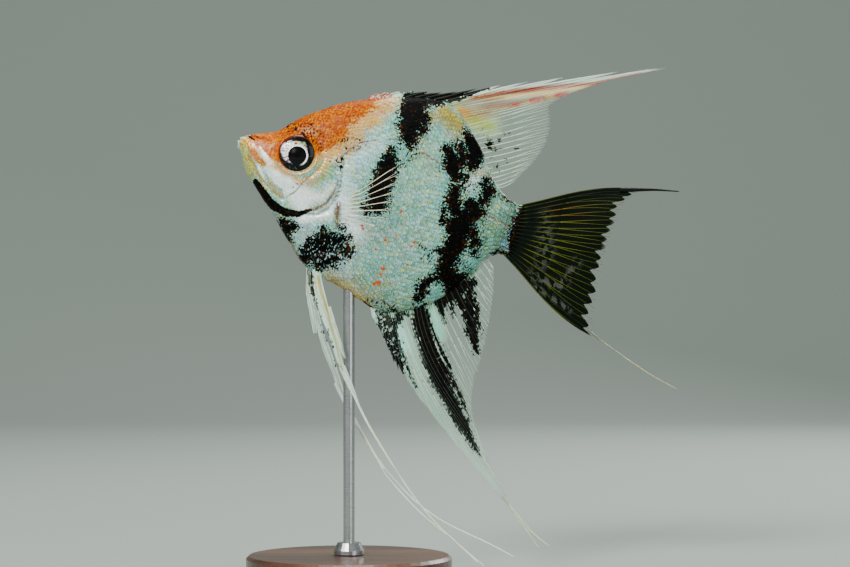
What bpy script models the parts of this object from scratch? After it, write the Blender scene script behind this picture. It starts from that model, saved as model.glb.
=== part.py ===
"""A freshwater angelfish (Pterophyllum scalare) as a life-size still model on a display stand.

The fish is drawn in its own frame, in millimetres: x runs back from the snout, z is up, y is to
its right, and the standard length (snout to tail root) is 75 mm. The POSE empty then pitches it
nose up and lifts it over the stand, whose foot is centred on the world origin.
"""

import math

import bmesh
import bpy
from mathutils import Matrix, Vector

MM = 0.001
PITCH = math.radians(18)
SNOUT = Vector((-29.1, 0.0, 112.7))
GAP = 0.3
FIN_THICKNESS = 0.6
ROOT_DEPTH = 1.6
SLIVER_SIZE = 0.04
BODY_CENTRE = Vector((46.0, 0.0, -1.0))

RING_POINTS = 22
RINGS_PER_SECTION = 2
CREASE_ANGLE = math.radians(40)

# Each section of the body: top (x, z), bottom (x, z), half width, and how sharply its edges pinch.
SECTIONS = [
    (-0.3, 1.3, 0.0, -1.1, 0.9, 0.70),
    (1.0, 2.8, 1.4, -2.2, 1.7, 0.72),
    (3.9, 4.4, 2.9, -4.9, 2.6, 0.76),
    (8.6, 6.5, 4.8, -7.2, 3.6, 0.82),
    (10.9, 8.9, 7.3, -9.1, 4.3, 0.88),
    (13.9, 12.1, 10.4, -11.7, 5.0, 0.94),
    (17.9, 15.4, 14.0, -14.6, 5.6, 0.98),
    (23.3, 19.1, 18.8, -19.0, 6.1, 1.02),
    (29.3, 22.1, 24.3, -23.6, 6.4, 1.05),
    (35.3, 24.5, 29.3, -26.2, 6.5, 1.08),
    (41.4, 26.5, 35.8, -27.3, 6.4, 1.10),
    (46.7, 27.5, 42.8, -29.1, 6.1, 1.12),
    (50.6, 27.1, 49.0, -30.3, 5.7, 1.14),
    (53.9, 25.1, 56.0, -27.8, 5.2, 1.14),
    (57.6, 22.0, 61.6, -23.6, 4.7, 1.12),
    (61.4, 18.3, 65.6, -18.6, 4.1, 1.08),
    (64.6, 14.2, 68.5, -13.6, 3.5, 1.04),
    (67.8, 10.9, 70.6, -9.4, 2.9, 1.00),
    (71.2, 8.7, 72.6, -7.2, 2.4, 0.96),
    (74.0, 7.9, 74.5, -6.2, 2.0, 0.92),
    (76.2, 8.0, 76.6, -6.2, 1.7, 0.90),
]

# The key rays of each fin, front to back: root (x, z), tip (x, z), and the bow of the ray as a
# share of its length, to the right of the way that it points.
DORSAL_RAYS = [
    (28.8, 21.8, 29.4, 23.4, 0.00),
    (31.7, 23.0, 33.4, 25.3, 0.00),
    (35.4, 24.4, 40.8, 27.9, 0.00),
    (39.6, 25.8, 48.7, 30.1, 0.01),
    (43.6, 26.9, 59.1, 35.1, 0.06),
    (47.4, 27.5, 75.0, 42.6, 0.02),
    (49.2, 27.4, 100.3, 53.8, 0.005),
    (50.8, 26.9, 90.6, 47.9, 0.03),
    (52.3, 26.0, 84.8, 44.0, 0.03),
    (53.9, 24.8, 77.8, 38.6, 0.03),
    (56.0, 23.2, 75.0, 34.9, 0.03),
    (58.4, 21.0, 76.2, 31.4, 0.03),
    (60.6, 18.9, 76.8, 28.0, 0.03),
    (62.8, 16.4, 76.7, 24.6, 0.03),
    (65.0, 13.7, 75.6, 20.6, 0.03),
    (67.0, 11.6, 73.8, 16.8, 0.02),
    (69.0, 10.1, 71.8, 12.8, 0.00),
]
ANAL_RAYS = [
    (46.2, -29.5, 47.6, -32.4, 0.00),
    (48.0, -30.0, 52.0, -36.6, -0.02),
    (49.1, -30.1, 56.8, -42.0, -0.03),
    (50.2, -30.0, 60.6, -44.9, -0.014),
    (51.3, -29.7, 68.0, -50.4, 0.010),
    (52.4, -29.3, 82.0, -59.8, 0.025),
    (53.5, -28.9, 94.4, -67.3, 0.033),
    (54.6, -28.4, 95.6, -66.6, 0.040),
    (55.9, -27.7, 89.8, -60.7, 0.050),
    (57.5, -26.8, 86.5, -56.6, 0.055),
    (59.2, -25.6, 82.1, -50.8, 0.045),
    (61.0, -24.1, 79.4, -45.2, 0.028),
    (62.8, -22.3, 78.4, -39.2, 0.02),
    (64.8, -19.6, 78.2, -33.0, 0.02),
    (66.6, -16.8, 77.6, -27.0, 0.02),
    (68.3, -13.8, 76.6, -20.6, 0.02),
    (69.8, -11.0, 75.6, -15.6, 0.01),
    (71.4, -8.4, 73.8, -10.2, 0.00),
]
TAIL_RAYS = [
    (75.4, 7.4, 104.0, 21.3, -0.056),
    (75.7, 6.2, 102.6, 18.6, -0.050),
    (76.0, 4.9, 101.0, 15.6, -0.04),
    (76.2, 3.6, 100.6, 12.4, -0.02),
    (76.3, 2.3, 100.8, 9.2, 0.00),
    (76.4, 1.0, 100.8, 5.8, 0.00),
    (76.4, -0.4, 100.6, 2.0, 0.00),
    (76.3, -1.7, 100.9, -2.0, 0.00),
    (76.2, -2.9, 101.4, -6.6, 0.01),
    (76.0, -4.0, 102.2, -11.2, 0.02),
    (75.8, -4.9, 103.0, -15.6, 0.04),
    (75.6, -5.7, 104.0, -19.2, 0.06),
]

# Pectoral rays are drawn on the left flank, with the depth y of the root and of the tip as well.
PECTORAL_RAYS = [
    (29.9, -5.6, 41.4, 6.8, 0.04),
    (30.3, -6.8, 43.0, 3.6, 0.02),
    (30.7, -8.0, 43.8, -0.4, 0.00),
    (31.1, -9.2, 43.4, -4.8, -0.02),
    (31.5, -10.4, 41.2, -9.4, -0.04),
]
PECTORAL_ROOT_Y = 5.0
PECTORAL_TIP_Y = 9.6
PECTORAL_INTO = Vector((-0.6, 0.0, 0.0))

# Pelvic blades: the short rays and the foot of the streamers.
PELVIC_LEFT_RAYS = [
    (30.4, -26.2, 45.4, -49.2, 0.02),
    (31.0, -26.2, 45.8, -48.9, 0.02),
    (31.7, -26.3, 46.2, -48.6, 0.02),
    (32.5, -26.4, 46.6, -48.2, 0.02),
]
PELVIC_RIGHT_RAYS = [
    (27.6, -25.6, 34.3, -40.9, 0.03),
    (28.2, -25.7, 43.6, -52.0, 0.04),
    (28.8, -25.9, 45.0, -52.6, 0.04),
    (29.4, -26.0, 45.6, -52.2, 0.04),
]
PELVIC_ROOT_Y = 1.3
PELVIC_TIP_Y = 4.2

# How many rays and how many steps along each ray a fin is built with.
DORSAL_GRID = (26, 7)
ANAL_GRID = (28, 8)
TAIL_GRID = (18, 6)
PECTORAL_GRID = (8, 5)
PELVIC_GRID = (5, 7)

# A ray's bow follows along ** rise * (1 - along) ** fall: most fins bend early, the tail late.
EARLY_BOW = (1.0, 2.0)
LATE_BOW = (1.5, 1.0)

# How far each fin waves to the side, and how early a paired fin spreads outward (under 1 is early).
DORSAL_SWAY = 0.5
ANAL_SWAY = -0.6
TAIL_SWAY = 0.7
PAIRED_SPLAY = 0.8
WAVES_ACROSS = 1.5
ROOT_TUCK_POWER = 6

# Streamers: points (x, y, z) and the radius at each end.
STREAMERS = {
    "pelvic_streamer_left_1": (
        [(46.9, -4.4, -50.2), (53.7, -4.8, -57.6), (59.2, -5.0, -62.6), (65.3, -5.0, -67.8)],
        0.50, 0.38,
    ),
    "pelvic_streamer_left_2": (
        [(65.8, -5.0, -68.2), (72.1, -4.8, -73.1), (79.9, -4.6, -78.1), (86.9, -4.5, -81.4),
         (93.6, -4.5, -84.5)],
        0.38, 0.26,
    ),
    "pelvic_streamer_right_1": (
        [(46.1, 4.4, -54.5), (52.4, 4.8, -60.6), (57.9, 5.0, -65.5), (62.9, 5.0, -69.7)],
        0.62, 0.48,
    ),
    "pelvic_streamer_right_2": (
        [(63.4, 4.9, -70.9), (68.9, 4.6, -74.2), (75.0, 4.5, -77.3), (80.9, 4.4, -79.8),
         (86.6, 4.3, -81.9), (96.0, 4.2, -85.8)],
        0.34, 0.26,
    ),
    "pelvic_streamer_right_3": (
        [(64.4, 5.4, -70.3), (72.1, 5.7, -74.8), (77.7, 5.9, -76.8), (84.3, 6.0, -78.4),
         (95.9, 6.2, -79.9), (102.8, 6.3, -81.2)],
        0.34, 0.26,
    ),
    "anal_streamer_1": (
        [(96.5, 0.45, -67.9), (99.2, 0.6, -70.0), (103.5, 0.8, -73.1), (108.0, 1.0, -76.6)],
        0.28, 0.25,
    ),
    "anal_streamer_2": (
        [(96.5, -0.45, -67.7), (99.9, -0.6, -69.9), (104.6, -0.8, -72.8), (110.3, -1.0, -75.0)],
        0.28, 0.25,
    ),
    "tail_streamer_upper": (
        [(104.5, 0.0, 21.4), (107.5, 0.1, 22.4), (110.6, 0.2, 23.2), (113.9, 0.4, 24.0)],
        0.36, 0.26,
    ),
    "tail_streamer_lower": (
        [(104.6, 0.0, -18.9), (109.8, -0.2, -20.7), (116.1, -0.6, -22.6), (122.4, -1.1, -24.3),
         (129.3, -1.8, -25.6)],
        0.32, 0.26,
    ),
}
STREAMER_POINTS_PER_SPAN = 3
STREAMER_ROUNDNESS = 1

EYE_CENTRE = Vector((15.6, 4.2, 2.4))
EYE_RADIUS = 4.9
EYE_DEPTH_RADIUS = 1.9
EYE_FACETS = (20, 12)

# Lines on the side of the fish along which the body is parted, as (x, z).
GILL_CUT = [
    (19.6, 20.0), (23.0, 13.5), (26.3, 7.2), (28.3, 1.5), (29.0, -3.6), (27.9, -8.4),
    (24.4, -11.8), (19.0, -13.6), (13.0, -13.6), (8.0, -13.2),
]
TAIL_CUT = [(69.6, 14.0), (68.2, 6.0), (68.4, -4.0), (70.8, -13.0)]
JAW_CUT = [(-3.0, 0.9), (0.6, 0.5), (2.0, -1.2), (3.6, -3.8), (6.2, -6.6), (9.6, -12.5)]
CUT_STEPS_PER_SPAN = 3
GILL_COVER_OUTLINE = [
    (22.4, 8.0), (21.9, 5.4), (21.3, 2.4), (20.6, -1.0), (19.3, -4.6), (17.2, -8.4),
    (15.0, -15.5), (32.0, -15.5), (32.0, 8.0),
]
GILL_COVER_INNER_Y = 3.2
GILL_COVER_OUTER_Y = 12.0

# A point inside each piece of flesh once the body is parted.
TRUNK_MIDDLE = Vector((46.0, 0.0, 0.0))
STALK_MIDDLE = Vector((73.0, 0.0, 0.0))
HEAD_MIDDLE = Vector((15.0, 0.0, 1.0))
JAW_MIDDLE = Vector((3.0, 0.0, -4.0))

BASE_RADIUS = 27.0
BASE_HEIGHT = 5.0
BASE_CHAMFER = 0.8
ROD_RADIUS = 1.5
ROD_TOP = 82.0
COLLAR_RADIUS = 4.0
COLLAR_TOP_RADIUS = 3.0
COLLAR_HEIGHT = 3.0
COLLAR_SHOULDER = 1.0
BASE_SIDES = 48
ROD_SIDES = 24
MERGE_DISTANCE = 1e-6

COLOURS = {
    "skin": ((0.78, 0.80, 0.76, 1.0), 0.35, 0.25),
    "head_skin": ((0.90, 0.42, 0.08, 1.0), 0.35, 0.10),
    "gill_cover": ((0.74, 0.84, 0.80, 1.0), 0.28, 0.35),
    "clear_fin": ((0.80, 0.86, 0.80, 1.0), 0.40, 0.00),
    "dark_fin": ((0.04, 0.05, 0.04, 1.0), 0.45, 0.00),
    "eye": ((0.05, 0.05, 0.06, 1.0), 0.08, 0.00),
    "stand_wood": ((0.16, 0.09, 0.05, 1.0), 0.45, 0.00),
    "stand_steel": ((0.62, 0.63, 0.65, 1.0), 0.30, 1.00),
}


def material(slot):
    """The named finish, made once."""
    found = bpy.data.materials.get(slot)
    if found:
        return found
    colour, roughness, metallic = COLOURS[slot]
    made = bpy.data.materials.new(slot)
    made.use_nodes = True
    shader = made.node_tree.nodes["Principled BSDF"]
    shader.inputs["Base Color"].default_value = colour
    shader.inputs["Roughness"].default_value = roughness
    shader.inputs["Metallic"].default_value = metallic
    return made


def collection(name, shown=True):
    """A new collection in the scene."""
    made = bpy.data.collections.new(name)
    made.hide_render = not shown
    bpy.context.scene.collection.children.link(made)
    return made


def new_object(name, mesh, group, parent, slot=None):
    """An object that shows the mesh, in a collection and under a parent."""
    made = bpy.data.objects.new(name, mesh)
    group.objects.link(made)
    made.parent = parent
    if slot:
        mesh.materials.clear()
        mesh.materials.append(material(slot))
    return made


def curve_value(a, b, c, d, t):
    """A Catmull-Rom curve's value between b and c."""
    return b + 0.5 * t * (c - a + t * (2 * a - 5 * b + 4 * c - d + t * (3 * (b - c) + d - a)))


def row_at(rows, share):
    """The row of numbers at a share, 0 to 1, of the way along a smooth curve through the rows."""
    place = min(max(share, 0.0), 1.0) * (len(rows) - 1)
    i = min(int(place), len(rows) - 2)
    near = [rows[min(max(i + k, 0), len(rows) - 1)] for k in (-1, 0, 1, 2)]
    return [curve_value(*values, place - i) for values in zip(*near)]


def mesh_of(bm, name):
    """Turns a bmesh in millimetres into a smooth-shaded mesh in metres."""
    bmesh.ops.recalc_face_normals(bm, faces=bm.faces)
    bmesh.ops.scale(bm, vec=Vector((MM, MM, MM)), verts=bm.verts)
    mesh = bpy.data.meshes.new(name)
    bm.to_mesh(mesh)
    bm.free()
    mesh.shade_smooth()
    mesh.set_sharp_from_angle(angle=CREASE_ANGLE)
    return mesh


def body_mesh(swell=0.0):
    """The whole body, from lips to tail root, as a loft of its sections."""
    bm = bmesh.new()
    rings = []
    count = (len(SECTIONS) - 1) * RINGS_PER_SECTION
    for i in range(count + 1):
        top_x, top_z, low_x, low_z, half_width, pinch = row_at(SECTIONS, i / count)
        top, low = Vector((top_x, 0, top_z)), Vector((low_x, 0, low_z))
        ring = []
        for k in range(RING_POINTS):
            angle = math.tau * k / RING_POINTS
            point = (top + low) / 2 + (top - low) / 2 * math.sin(angle)
            side = math.cos(angle)
            point.y = math.copysign(half_width * abs(side) ** pinch, side) if abs(side) > 1e-9 else 0
            ring.append(bm.verts.new(point))
        rings.append(ring)
    for front, back in zip(rings, rings[1:]):
        for k in range(RING_POINTS):
            after = (k + 1) % RING_POINTS
            bm.faces.new((front[k], front[after], back[after], back[k]))
    bm.faces.new(rings[0])
    bm.faces.new(rings[-1])
    bmesh.ops.recalc_face_normals(bm, faces=bm.faces)
    bm.normal_update()
    if swell:
        moves = [(v, v.normal * swell) for v in bm.verts]
        for vert, move in moves:
            vert.co += move
    return mesh_of(bm, "body")


def bow_share(along, rise, fall):
    """How much of a ray's bow is reached at a share of its length; the peak is one."""
    peak = rise / (rise + fall)
    return (along / peak) ** rise * ((1 - along) / (1 - peak)) ** fall


def fan_mesh(name, keys, grid, root_y=0.0, tip_y=0.0, splay=1.0, sway=0.0, into=None,
             bend=EARLY_BOW):
    """A fin as an open fan of rays: a grid whose columns are rays and whose rows run root to tip."""
    rays, steps = grid
    bm = bmesh.new()
    bmesh.ops.create_grid(bm, x_segments=rays, y_segments=steps, size=0.5)
    for vert in bm.verts:
        across, along = vert.co.x + 0.5, vert.co.y + 0.5
        root_x, root_z, tip_x, tip_z, bow = row_at(keys, across)
        root, tip = Vector((root_x, 0, root_z)), Vector((tip_x, 0, tip_z))
        way = tip - root
        right = Vector((way.z, 0, -way.x))
        inner = root + (into or (BODY_CENTRE - root).normalized() * ROOT_DEPTH)
        point = root.lerp(tip, along) + right * bow * bow_share(along, *bend)
        point += (inner - root) * (1 - along) ** ROOT_TUCK_POWER
        depth = root_y + (tip_y - root_y) * along ** splay
        point.y = depth + sway * math.sin(math.pi * (across * WAVES_ACROSS + along)) * along
        vert.co = point
    return mesh_of(bm, name)


def solidify(obj, thickness):
    """Gives an open fan its thickness, half on each side."""
    shell = obj.modifiers.new("thickness", "SOLIDIFY")
    shell.thickness = thickness * MM
    shell.offset = 0.0


def boolean(obj, cutter, operation):
    """Cuts, joins or keeps what an object shares with a cutter."""
    step = obj.modifiers.new(operation.lower(), "BOOLEAN")
    step.operation = operation
    step.object = cutter


def prism(name, outline, low_y, high_y, group, parent, grow=0.0):
    """A cutter with a side outline (x, z), running between two depths."""
    bm = bmesh.new()
    centre = sum((Vector((x, 0, z)) for x, z in outline), Vector()) / len(outline)
    verts = []
    for x, z in outline:
        point = Vector((x, low_y, z))
        away = (Vector((x, 0, z)) - centre).normalized()
        verts.append(bm.verts.new(point + away * grow))
    face = bm.faces.new(verts)
    grown = bmesh.ops.extrude_face_region(bm, geom=[face])
    moved = [v for v in grown["geom"] if isinstance(v, bmesh.types.BMVert)]
    bmesh.ops.translate(bm, verts=moved, vec=Vector((0, high_y - low_y, 0)))
    return hidden(new_object(name, mesh_of(bm, name), group, parent))


def hidden(obj):
    """Marks a cutter, which isn't a node."""
    obj.hide_render = True
    obj.display_type = "WIRE"
    return obj


def cut_sheet(name, line, group, parent):
    """A thin upright sheet along a line (x, z) on the fish's side, right through the body."""
    steps = (len(line) - 1) * CUT_STEPS_PER_SPAN
    bm = bmesh.new()
    bmesh.ops.create_grid(bm, x_segments=steps, y_segments=1, size=0.5)
    for vert in bm.verts:
        x, z = row_at(line, vert.co.x + 0.5)
        vert.co = (x, 2 * vert.co.y * GILL_COVER_OUTER_Y, z)
    sheet = hidden(new_object(name, mesh_of(bm, name), group, parent))
    solidify(sheet, GAP)
    return sheet


def baked(obj):
    """The object's mesh with its modifiers applied."""
    bpy.context.view_layer.update()
    graph = bpy.context.evaluated_depsgraph_get()
    return bpy.data.meshes.new_from_object(obj.evaluated_get(graph))


def cleaned(mesh):
    """A triangulated copy of a cut mesh without the slivers that a cut leaves along its edge."""
    bm = bmesh.new()
    bm.from_mesh(mesh)
    bmesh.ops.remove_doubles(bm, verts=bm.verts, dist=SLIVER_SIZE * MM)
    bmesh.ops.triangulate(bm, faces=bm.faces)
    bmesh.ops.dissolve_degenerate(bm, dist=SLIVER_SIZE * MM, edges=bm.edges)
    bmesh.ops.triangulate(bm, faces=bm.faces)
    out = bpy.data.meshes.new(mesh.name)
    bm.to_mesh(out)
    bm.free()
    return out


def island(mesh, near):
    """A copy of the loose part of a mesh whose middle is nearest a point in millimetres."""
    bm = bmesh.new()
    bm.from_mesh(mesh)
    bmesh.ops.remove_doubles(bm, verts=bm.verts, dist=MERGE_DISTANCE)
    unseen, parts = set(bm.verts), []
    while unseen:
        reached, edge = set(), [unseen.pop()]
        while edge:
            vert = edge.pop()
            reached.add(vert)
            for link in vert.link_edges:
                other = link.other_vert(vert)
                if other in unseen:
                    unseen.discard(other)
                    edge.append(other)
        parts.append(reached)
    target = near * MM

    def distance(part):
        middle = sum((v.co for v in part), Vector()) / len(part)
        return (middle - target).length

    kept = min(parts, key=distance)
    bmesh.ops.delete(bm, geom=[v for v in bm.verts if v not in kept], context="VERTS")
    out = bpy.data.meshes.new(mesh.name)
    bm.to_mesh(out)
    bm.free()
    return out


def ellipsoid(name, centre, radii, group, parent, slot=None):
    """An eyeball or its socket."""
    bm = bmesh.new()
    bmesh.ops.create_uvsphere(
        bm, u_segments=EYE_FACETS[0], v_segments=EYE_FACETS[1], radius=1.0,
    )
    pole_outward = Matrix.Rotation(math.pi / 2, 3, "X")
    bmesh.ops.rotate(bm, verts=bm.verts, cent=Vector(), matrix=pole_outward)
    bmesh.ops.scale(bm, vec=Vector(radii), verts=bm.verts)
    bmesh.ops.translate(bm, vec=centre, verts=bm.verts)
    return new_object(name, mesh_of(bm, name), group, parent, slot)


def make_flesh(parts, cutters, pose):
    """Head, jaw, gill covers, trunk and tail stalk, parted by thin cuts, and the eyes."""
    whole = hidden(new_object("whole_body", body_mesh(), cutters, pose))
    for name, line in (("gill_cut", GILL_CUT), ("tail_cut", TAIL_CUT), ("jaw_cut", JAW_CUT)):
        boolean(whole, cut_sheet(name, line, cutters, pose), "DIFFERENCE")
    parted = baked(whole)
    new_object("trunk", island(parted, TRUNK_MIDDLE), parts, pose, "skin")
    new_object("tail_stalk", island(parted, STALK_MIDDLE), parts, pose, "skin")
    new_object("lower_jaw", island(parted, JAW_MIDDLE), parts, pose, "head_skin")
    head = new_object("head", island(parted, HEAD_MIDDLE), parts, pose, "head_skin")
    for side, sign in (("left", -1), ("right", 1)):
        centre = Vector((EYE_CENTRE.x, sign * EYE_CENTRE.y, EYE_CENTRE.z))
        radii = (EYE_RADIUS, EYE_DEPTH_RADIUS, EYE_RADIUS)
        ellipsoid("eye_" + side, centre, radii, parts, pose, "eye")
        socket_radii = tuple(r + GAP for r in radii)
        socket = ellipsoid("socket_" + side, centre, socket_radii, cutters, pose)
        low, high = sorted((sign * GILL_COVER_INNER_Y, sign * GILL_COVER_OUTER_Y))
        cover_shape = prism("cover_shape_" + side, GILL_COVER_OUTLINE, low, high, cutters, pose)
        low, high = sorted((sign * (GILL_COVER_INNER_Y - GAP), sign * (GILL_COVER_OUTER_Y + 1)))
        room = prism("cover_room_" + side, GILL_COVER_OUTLINE, low, high, cutters, pose, grow=GAP)
        cover = new_object("gill_cover_" + side, head.data.copy(), parts, pose, "gill_cover")
        boolean(cover, cover_shape, "INTERSECT")
        boolean(head, hidden(socket), "DIFFERENCE")
        boolean(head, room, "DIFFERENCE")


def make_fin(name, mesh, slot, parts, pose, cutter):
    """A fin of even thickness whose root is cut back from the body."""
    fin = new_object(name, mesh, parts, pose, slot)
    solidify(fin, FIN_THICKNESS)
    boolean(fin, cutter, "DIFFERENCE")
    shape = cleaned(baked(fin))
    fin.modifiers.clear()
    fin.data = shape
    shape.materials.append(material(slot))


def make_fins(parts, pose, cutter):
    """The dorsal, anal, tail, pectoral and pelvic fins."""
    dorsal = fan_mesh("dorsal_fin", DORSAL_RAYS, DORSAL_GRID, sway=DORSAL_SWAY)
    make_fin("dorsal_fin", dorsal, "clear_fin", parts, pose, cutter)
    anal = fan_mesh("anal_fin", ANAL_RAYS, ANAL_GRID, sway=ANAL_SWAY)
    make_fin("anal_fin", anal, "clear_fin", parts, pose, cutter)
    tail = fan_mesh("tail_fin", TAIL_RAYS, TAIL_GRID, sway=TAIL_SWAY, bend=LATE_BOW)
    make_fin("tail_fin", tail, "dark_fin", parts, pose, cutter)
    for side, sign, keys in (("left", -1, PELVIC_LEFT_RAYS), ("right", 1, PELVIC_RIGHT_RAYS)):
        pectoral = fan_mesh(
            "pectoral_fin_" + side, PECTORAL_RAYS, PECTORAL_GRID, root_y=sign * PECTORAL_ROOT_Y,
            tip_y=sign * PECTORAL_TIP_Y, splay=PAIRED_SPLAY, into=PECTORAL_INTO,
        )
        make_fin("pectoral_fin_" + side, pectoral, "clear_fin", parts, pose, cutter)
        pelvic = fan_mesh(
            "pelvic_fin_" + side, keys, PELVIC_GRID, root_y=sign * PELVIC_ROOT_Y,
            tip_y=sign * PELVIC_TIP_Y, splay=PAIRED_SPLAY,
        )
        make_fin("pelvic_fin_" + side, pelvic, "clear_fin", parts, pose, cutter)


def make_streamers(parts, pose):
    """The long trailing rays, each a tapering round filament."""
    for name, (points, thick, thin) in STREAMERS.items():
        data = bpy.data.curves.new(name, "CURVE")
        data.dimensions = "3D"
        data.bevel_depth = MM
        data.bevel_resolution = STREAMER_ROUNDNESS
        data.use_fill_caps = True
        spline = data.splines.new("POLY")
        count = (len(points) - 1) * STREAMER_POINTS_PER_SPAN
        spline.points.add(count)
        for i, point in enumerate(spline.points):
            share = i / count
            x, y, z = row_at(points, share)
            point.co = (x * MM, y * MM, z * MM, 1.0)
            point.radius = thick + (thin - thick) * share
        slot = "dark_fin" if name == "tail_streamer_upper" else "clear_fin"
        data.materials.append(material(slot))
        made = bpy.data.objects.new(name, data)
        parts.objects.link(made)
        made.parent = pose


def turned(name, profile, steps, group, slot):
    """A closed turned shape about the world's z axis, from a profile (radius, z), top to bottom."""
    bm = bmesh.new()
    verts = [bm.verts.new((r * MM, 0, z * MM)) for r, z in profile]
    for a, b in zip(verts, verts[1:]):
        bm.edges.new((a, b))
    mesh = bpy.data.meshes.new(name)
    bm.to_mesh(mesh)
    bm.free()
    made = new_object(name, mesh, group, None, slot)
    screw = made.modifiers.new("turn", "SCREW")
    screw.steps = screw.render_steps = steps
    screw.use_merge_vertices = True
    screw.merge_threshold = MERGE_DISTANCE
    return made


def make_stand(parts, cutter):
    """A round wooden foot and a steel rod that ends under the belly."""
    rim, top, edge = BASE_RADIUS, BASE_HEIGHT, BASE_CHAMFER
    foot = [(0, top), (rim - edge, top), (rim, top - edge), (rim, 0), (0, 0)]
    turned("stand_base", foot, BASE_SIDES, parts, "stand_wood")
    seat = top + GAP
    profile = [
        (0, ROD_TOP), (ROD_RADIUS, ROD_TOP), (ROD_RADIUS, seat + COLLAR_HEIGHT),
        (COLLAR_TOP_RADIUS, seat + COLLAR_HEIGHT), (COLLAR_RADIUS, seat + COLLAR_SHOULDER),
        (COLLAR_RADIUS, seat), (0, seat),
    ]
    rod = turned("stand_rod", profile, ROD_SIDES, parts, "stand_steel")
    boolean(rod, cutter, "DIFFERENCE")


def main():
    """Clears the scene and builds the fish and its stand."""
    for obj in list(bpy.data.objects):
        bpy.data.objects.remove(obj)
    parts = collection("angelfish")
    cutters = collection("cutters", shown=False)
    pose = bpy.data.objects.new("POSE", None)
    parts.objects.link(pose)
    pose.location = SNOUT * MM
    pose.rotation_euler = (0.0, PITCH, 0.0)
    make_flesh(parts, cutters, pose)
    swollen = hidden(new_object("swollen_body", body_mesh(swell=GAP), cutters, pose))
    make_fins(parts, pose, swollen)
    make_streamers(parts, pose)
    make_stand(parts, swollen)


main()
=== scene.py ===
"""Looks of a freshwater angelfish, a still life-size model on a plain display stand.

The fish is drawn in body millimetres: x runs back from the snout, y to the fish's right and z up.
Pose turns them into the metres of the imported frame, whose z is up from the floor.
"""

import logging
import math
from dataclasses import dataclass, field
from enum import Enum
from functools import cached_property
from typing import Iterator, Sequence

import bpy
import numpy as np
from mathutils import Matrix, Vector


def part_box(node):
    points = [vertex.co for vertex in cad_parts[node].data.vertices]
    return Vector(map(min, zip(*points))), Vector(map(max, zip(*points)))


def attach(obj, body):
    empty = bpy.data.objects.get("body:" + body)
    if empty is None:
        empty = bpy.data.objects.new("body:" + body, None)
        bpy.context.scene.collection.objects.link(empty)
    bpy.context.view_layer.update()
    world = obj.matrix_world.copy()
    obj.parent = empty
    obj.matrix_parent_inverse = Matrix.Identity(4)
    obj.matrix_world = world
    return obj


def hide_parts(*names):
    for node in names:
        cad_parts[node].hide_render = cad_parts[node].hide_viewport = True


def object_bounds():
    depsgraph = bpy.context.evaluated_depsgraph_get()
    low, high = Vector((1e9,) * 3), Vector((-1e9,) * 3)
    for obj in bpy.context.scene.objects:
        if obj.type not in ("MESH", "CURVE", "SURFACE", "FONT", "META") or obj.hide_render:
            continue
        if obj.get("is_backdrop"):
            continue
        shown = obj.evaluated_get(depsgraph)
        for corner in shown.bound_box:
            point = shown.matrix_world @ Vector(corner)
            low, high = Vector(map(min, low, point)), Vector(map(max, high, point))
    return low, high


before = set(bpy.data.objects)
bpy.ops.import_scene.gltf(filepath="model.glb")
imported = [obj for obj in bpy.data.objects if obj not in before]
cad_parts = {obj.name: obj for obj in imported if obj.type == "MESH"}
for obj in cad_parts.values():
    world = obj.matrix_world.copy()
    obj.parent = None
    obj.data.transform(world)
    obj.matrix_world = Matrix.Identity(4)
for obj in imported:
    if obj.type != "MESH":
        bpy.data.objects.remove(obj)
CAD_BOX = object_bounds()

LOG = logging.getLogger("angelfish")
MM = 0.001
SEED = 7
BODY = "root"
# The depth in millimetres that stands for a place outside every chain of brush marks.
FAR_OUTSIDE = -20.0

Array = np.ndarray
Material = bpy.types.Material
Object = bpy.types.Object
Pair = tuple[float, float]
Triple = tuple[float, float, float]
Colour = Triple
Rows = Sequence[Sequence[float]]


class Side(Enum):
    """A side of the fish, with the sign of its y."""

    LEFT = -1
    RIGHT = 1

    @property
    def word(self) -> str:
        """The side's name in lower case."""
        return self.name.lower()


class Slot(Enum):
    """The record's material slots."""

    SKIN = "skin"
    CLEAR_FIN = "clear_fin"
    DARK_FIN = "dark_fin"
    EYE = "eye"
    WOOD = "stand_wood"
    STEEL = "stand_steel"


# ---------------------------------------------------------------- numbers and curves


def paint(red: int, green: int, blue: int) -> Colour:
    """A linear colour from the 0 to 255 values on a colour card."""
    shares = (red / 255, green / 255, blue / 255)
    return tuple(s / 12.92 if s <= 0.04045 else ((s + 0.055) / 1.055) ** 2.4 for s in shares)


def smooth(low: float, high: float, value: Array) -> Array:
    """A smooth step from 0 at low to 1 at high."""
    share = np.clip((value - low) / (high - low), 0.0, 1.0)
    return share * share * (3 - 2 * share)


def bell(distance: Array, width: float) -> Array:
    """A round hump: 1 at no distance, falling away over the width."""
    return np.exp(-((distance / width) ** 2))


def curve_through(rows: Rows, share: Array) -> Array:
    """Reads a smooth Catmull-Rom curve through rows of numbers.

    Args:
        rows: the rows that the curve passes through, evenly spaced in share.
        share: where to read it, 0 to 1, in an array of any shape.

    Returns:
        The rows read, with the numbers of a row along the last axis.
    """
    table = np.asarray(rows, float)
    place = np.clip(share, 0.0, 1.0) * (len(table) - 1)
    first = np.minimum(place.astype(int), len(table) - 2)
    t = (place - first)[..., None]
    a, b, c, d = (table[np.clip(first + k, 0, len(table) - 1)] for k in (-1, 0, 1, 2))
    return b + 0.5 * t * (c - a + t * (2 * a - 5 * b + 4 * c - d + t * (3 * (b - c) + d - a)))


def unit(vectors: Array) -> Array:
    """Vectors along the last axis, each brought to length one."""
    return vectors / np.maximum(np.linalg.norm(vectors, axis=-1, keepdims=True), 1e-12)


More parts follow.
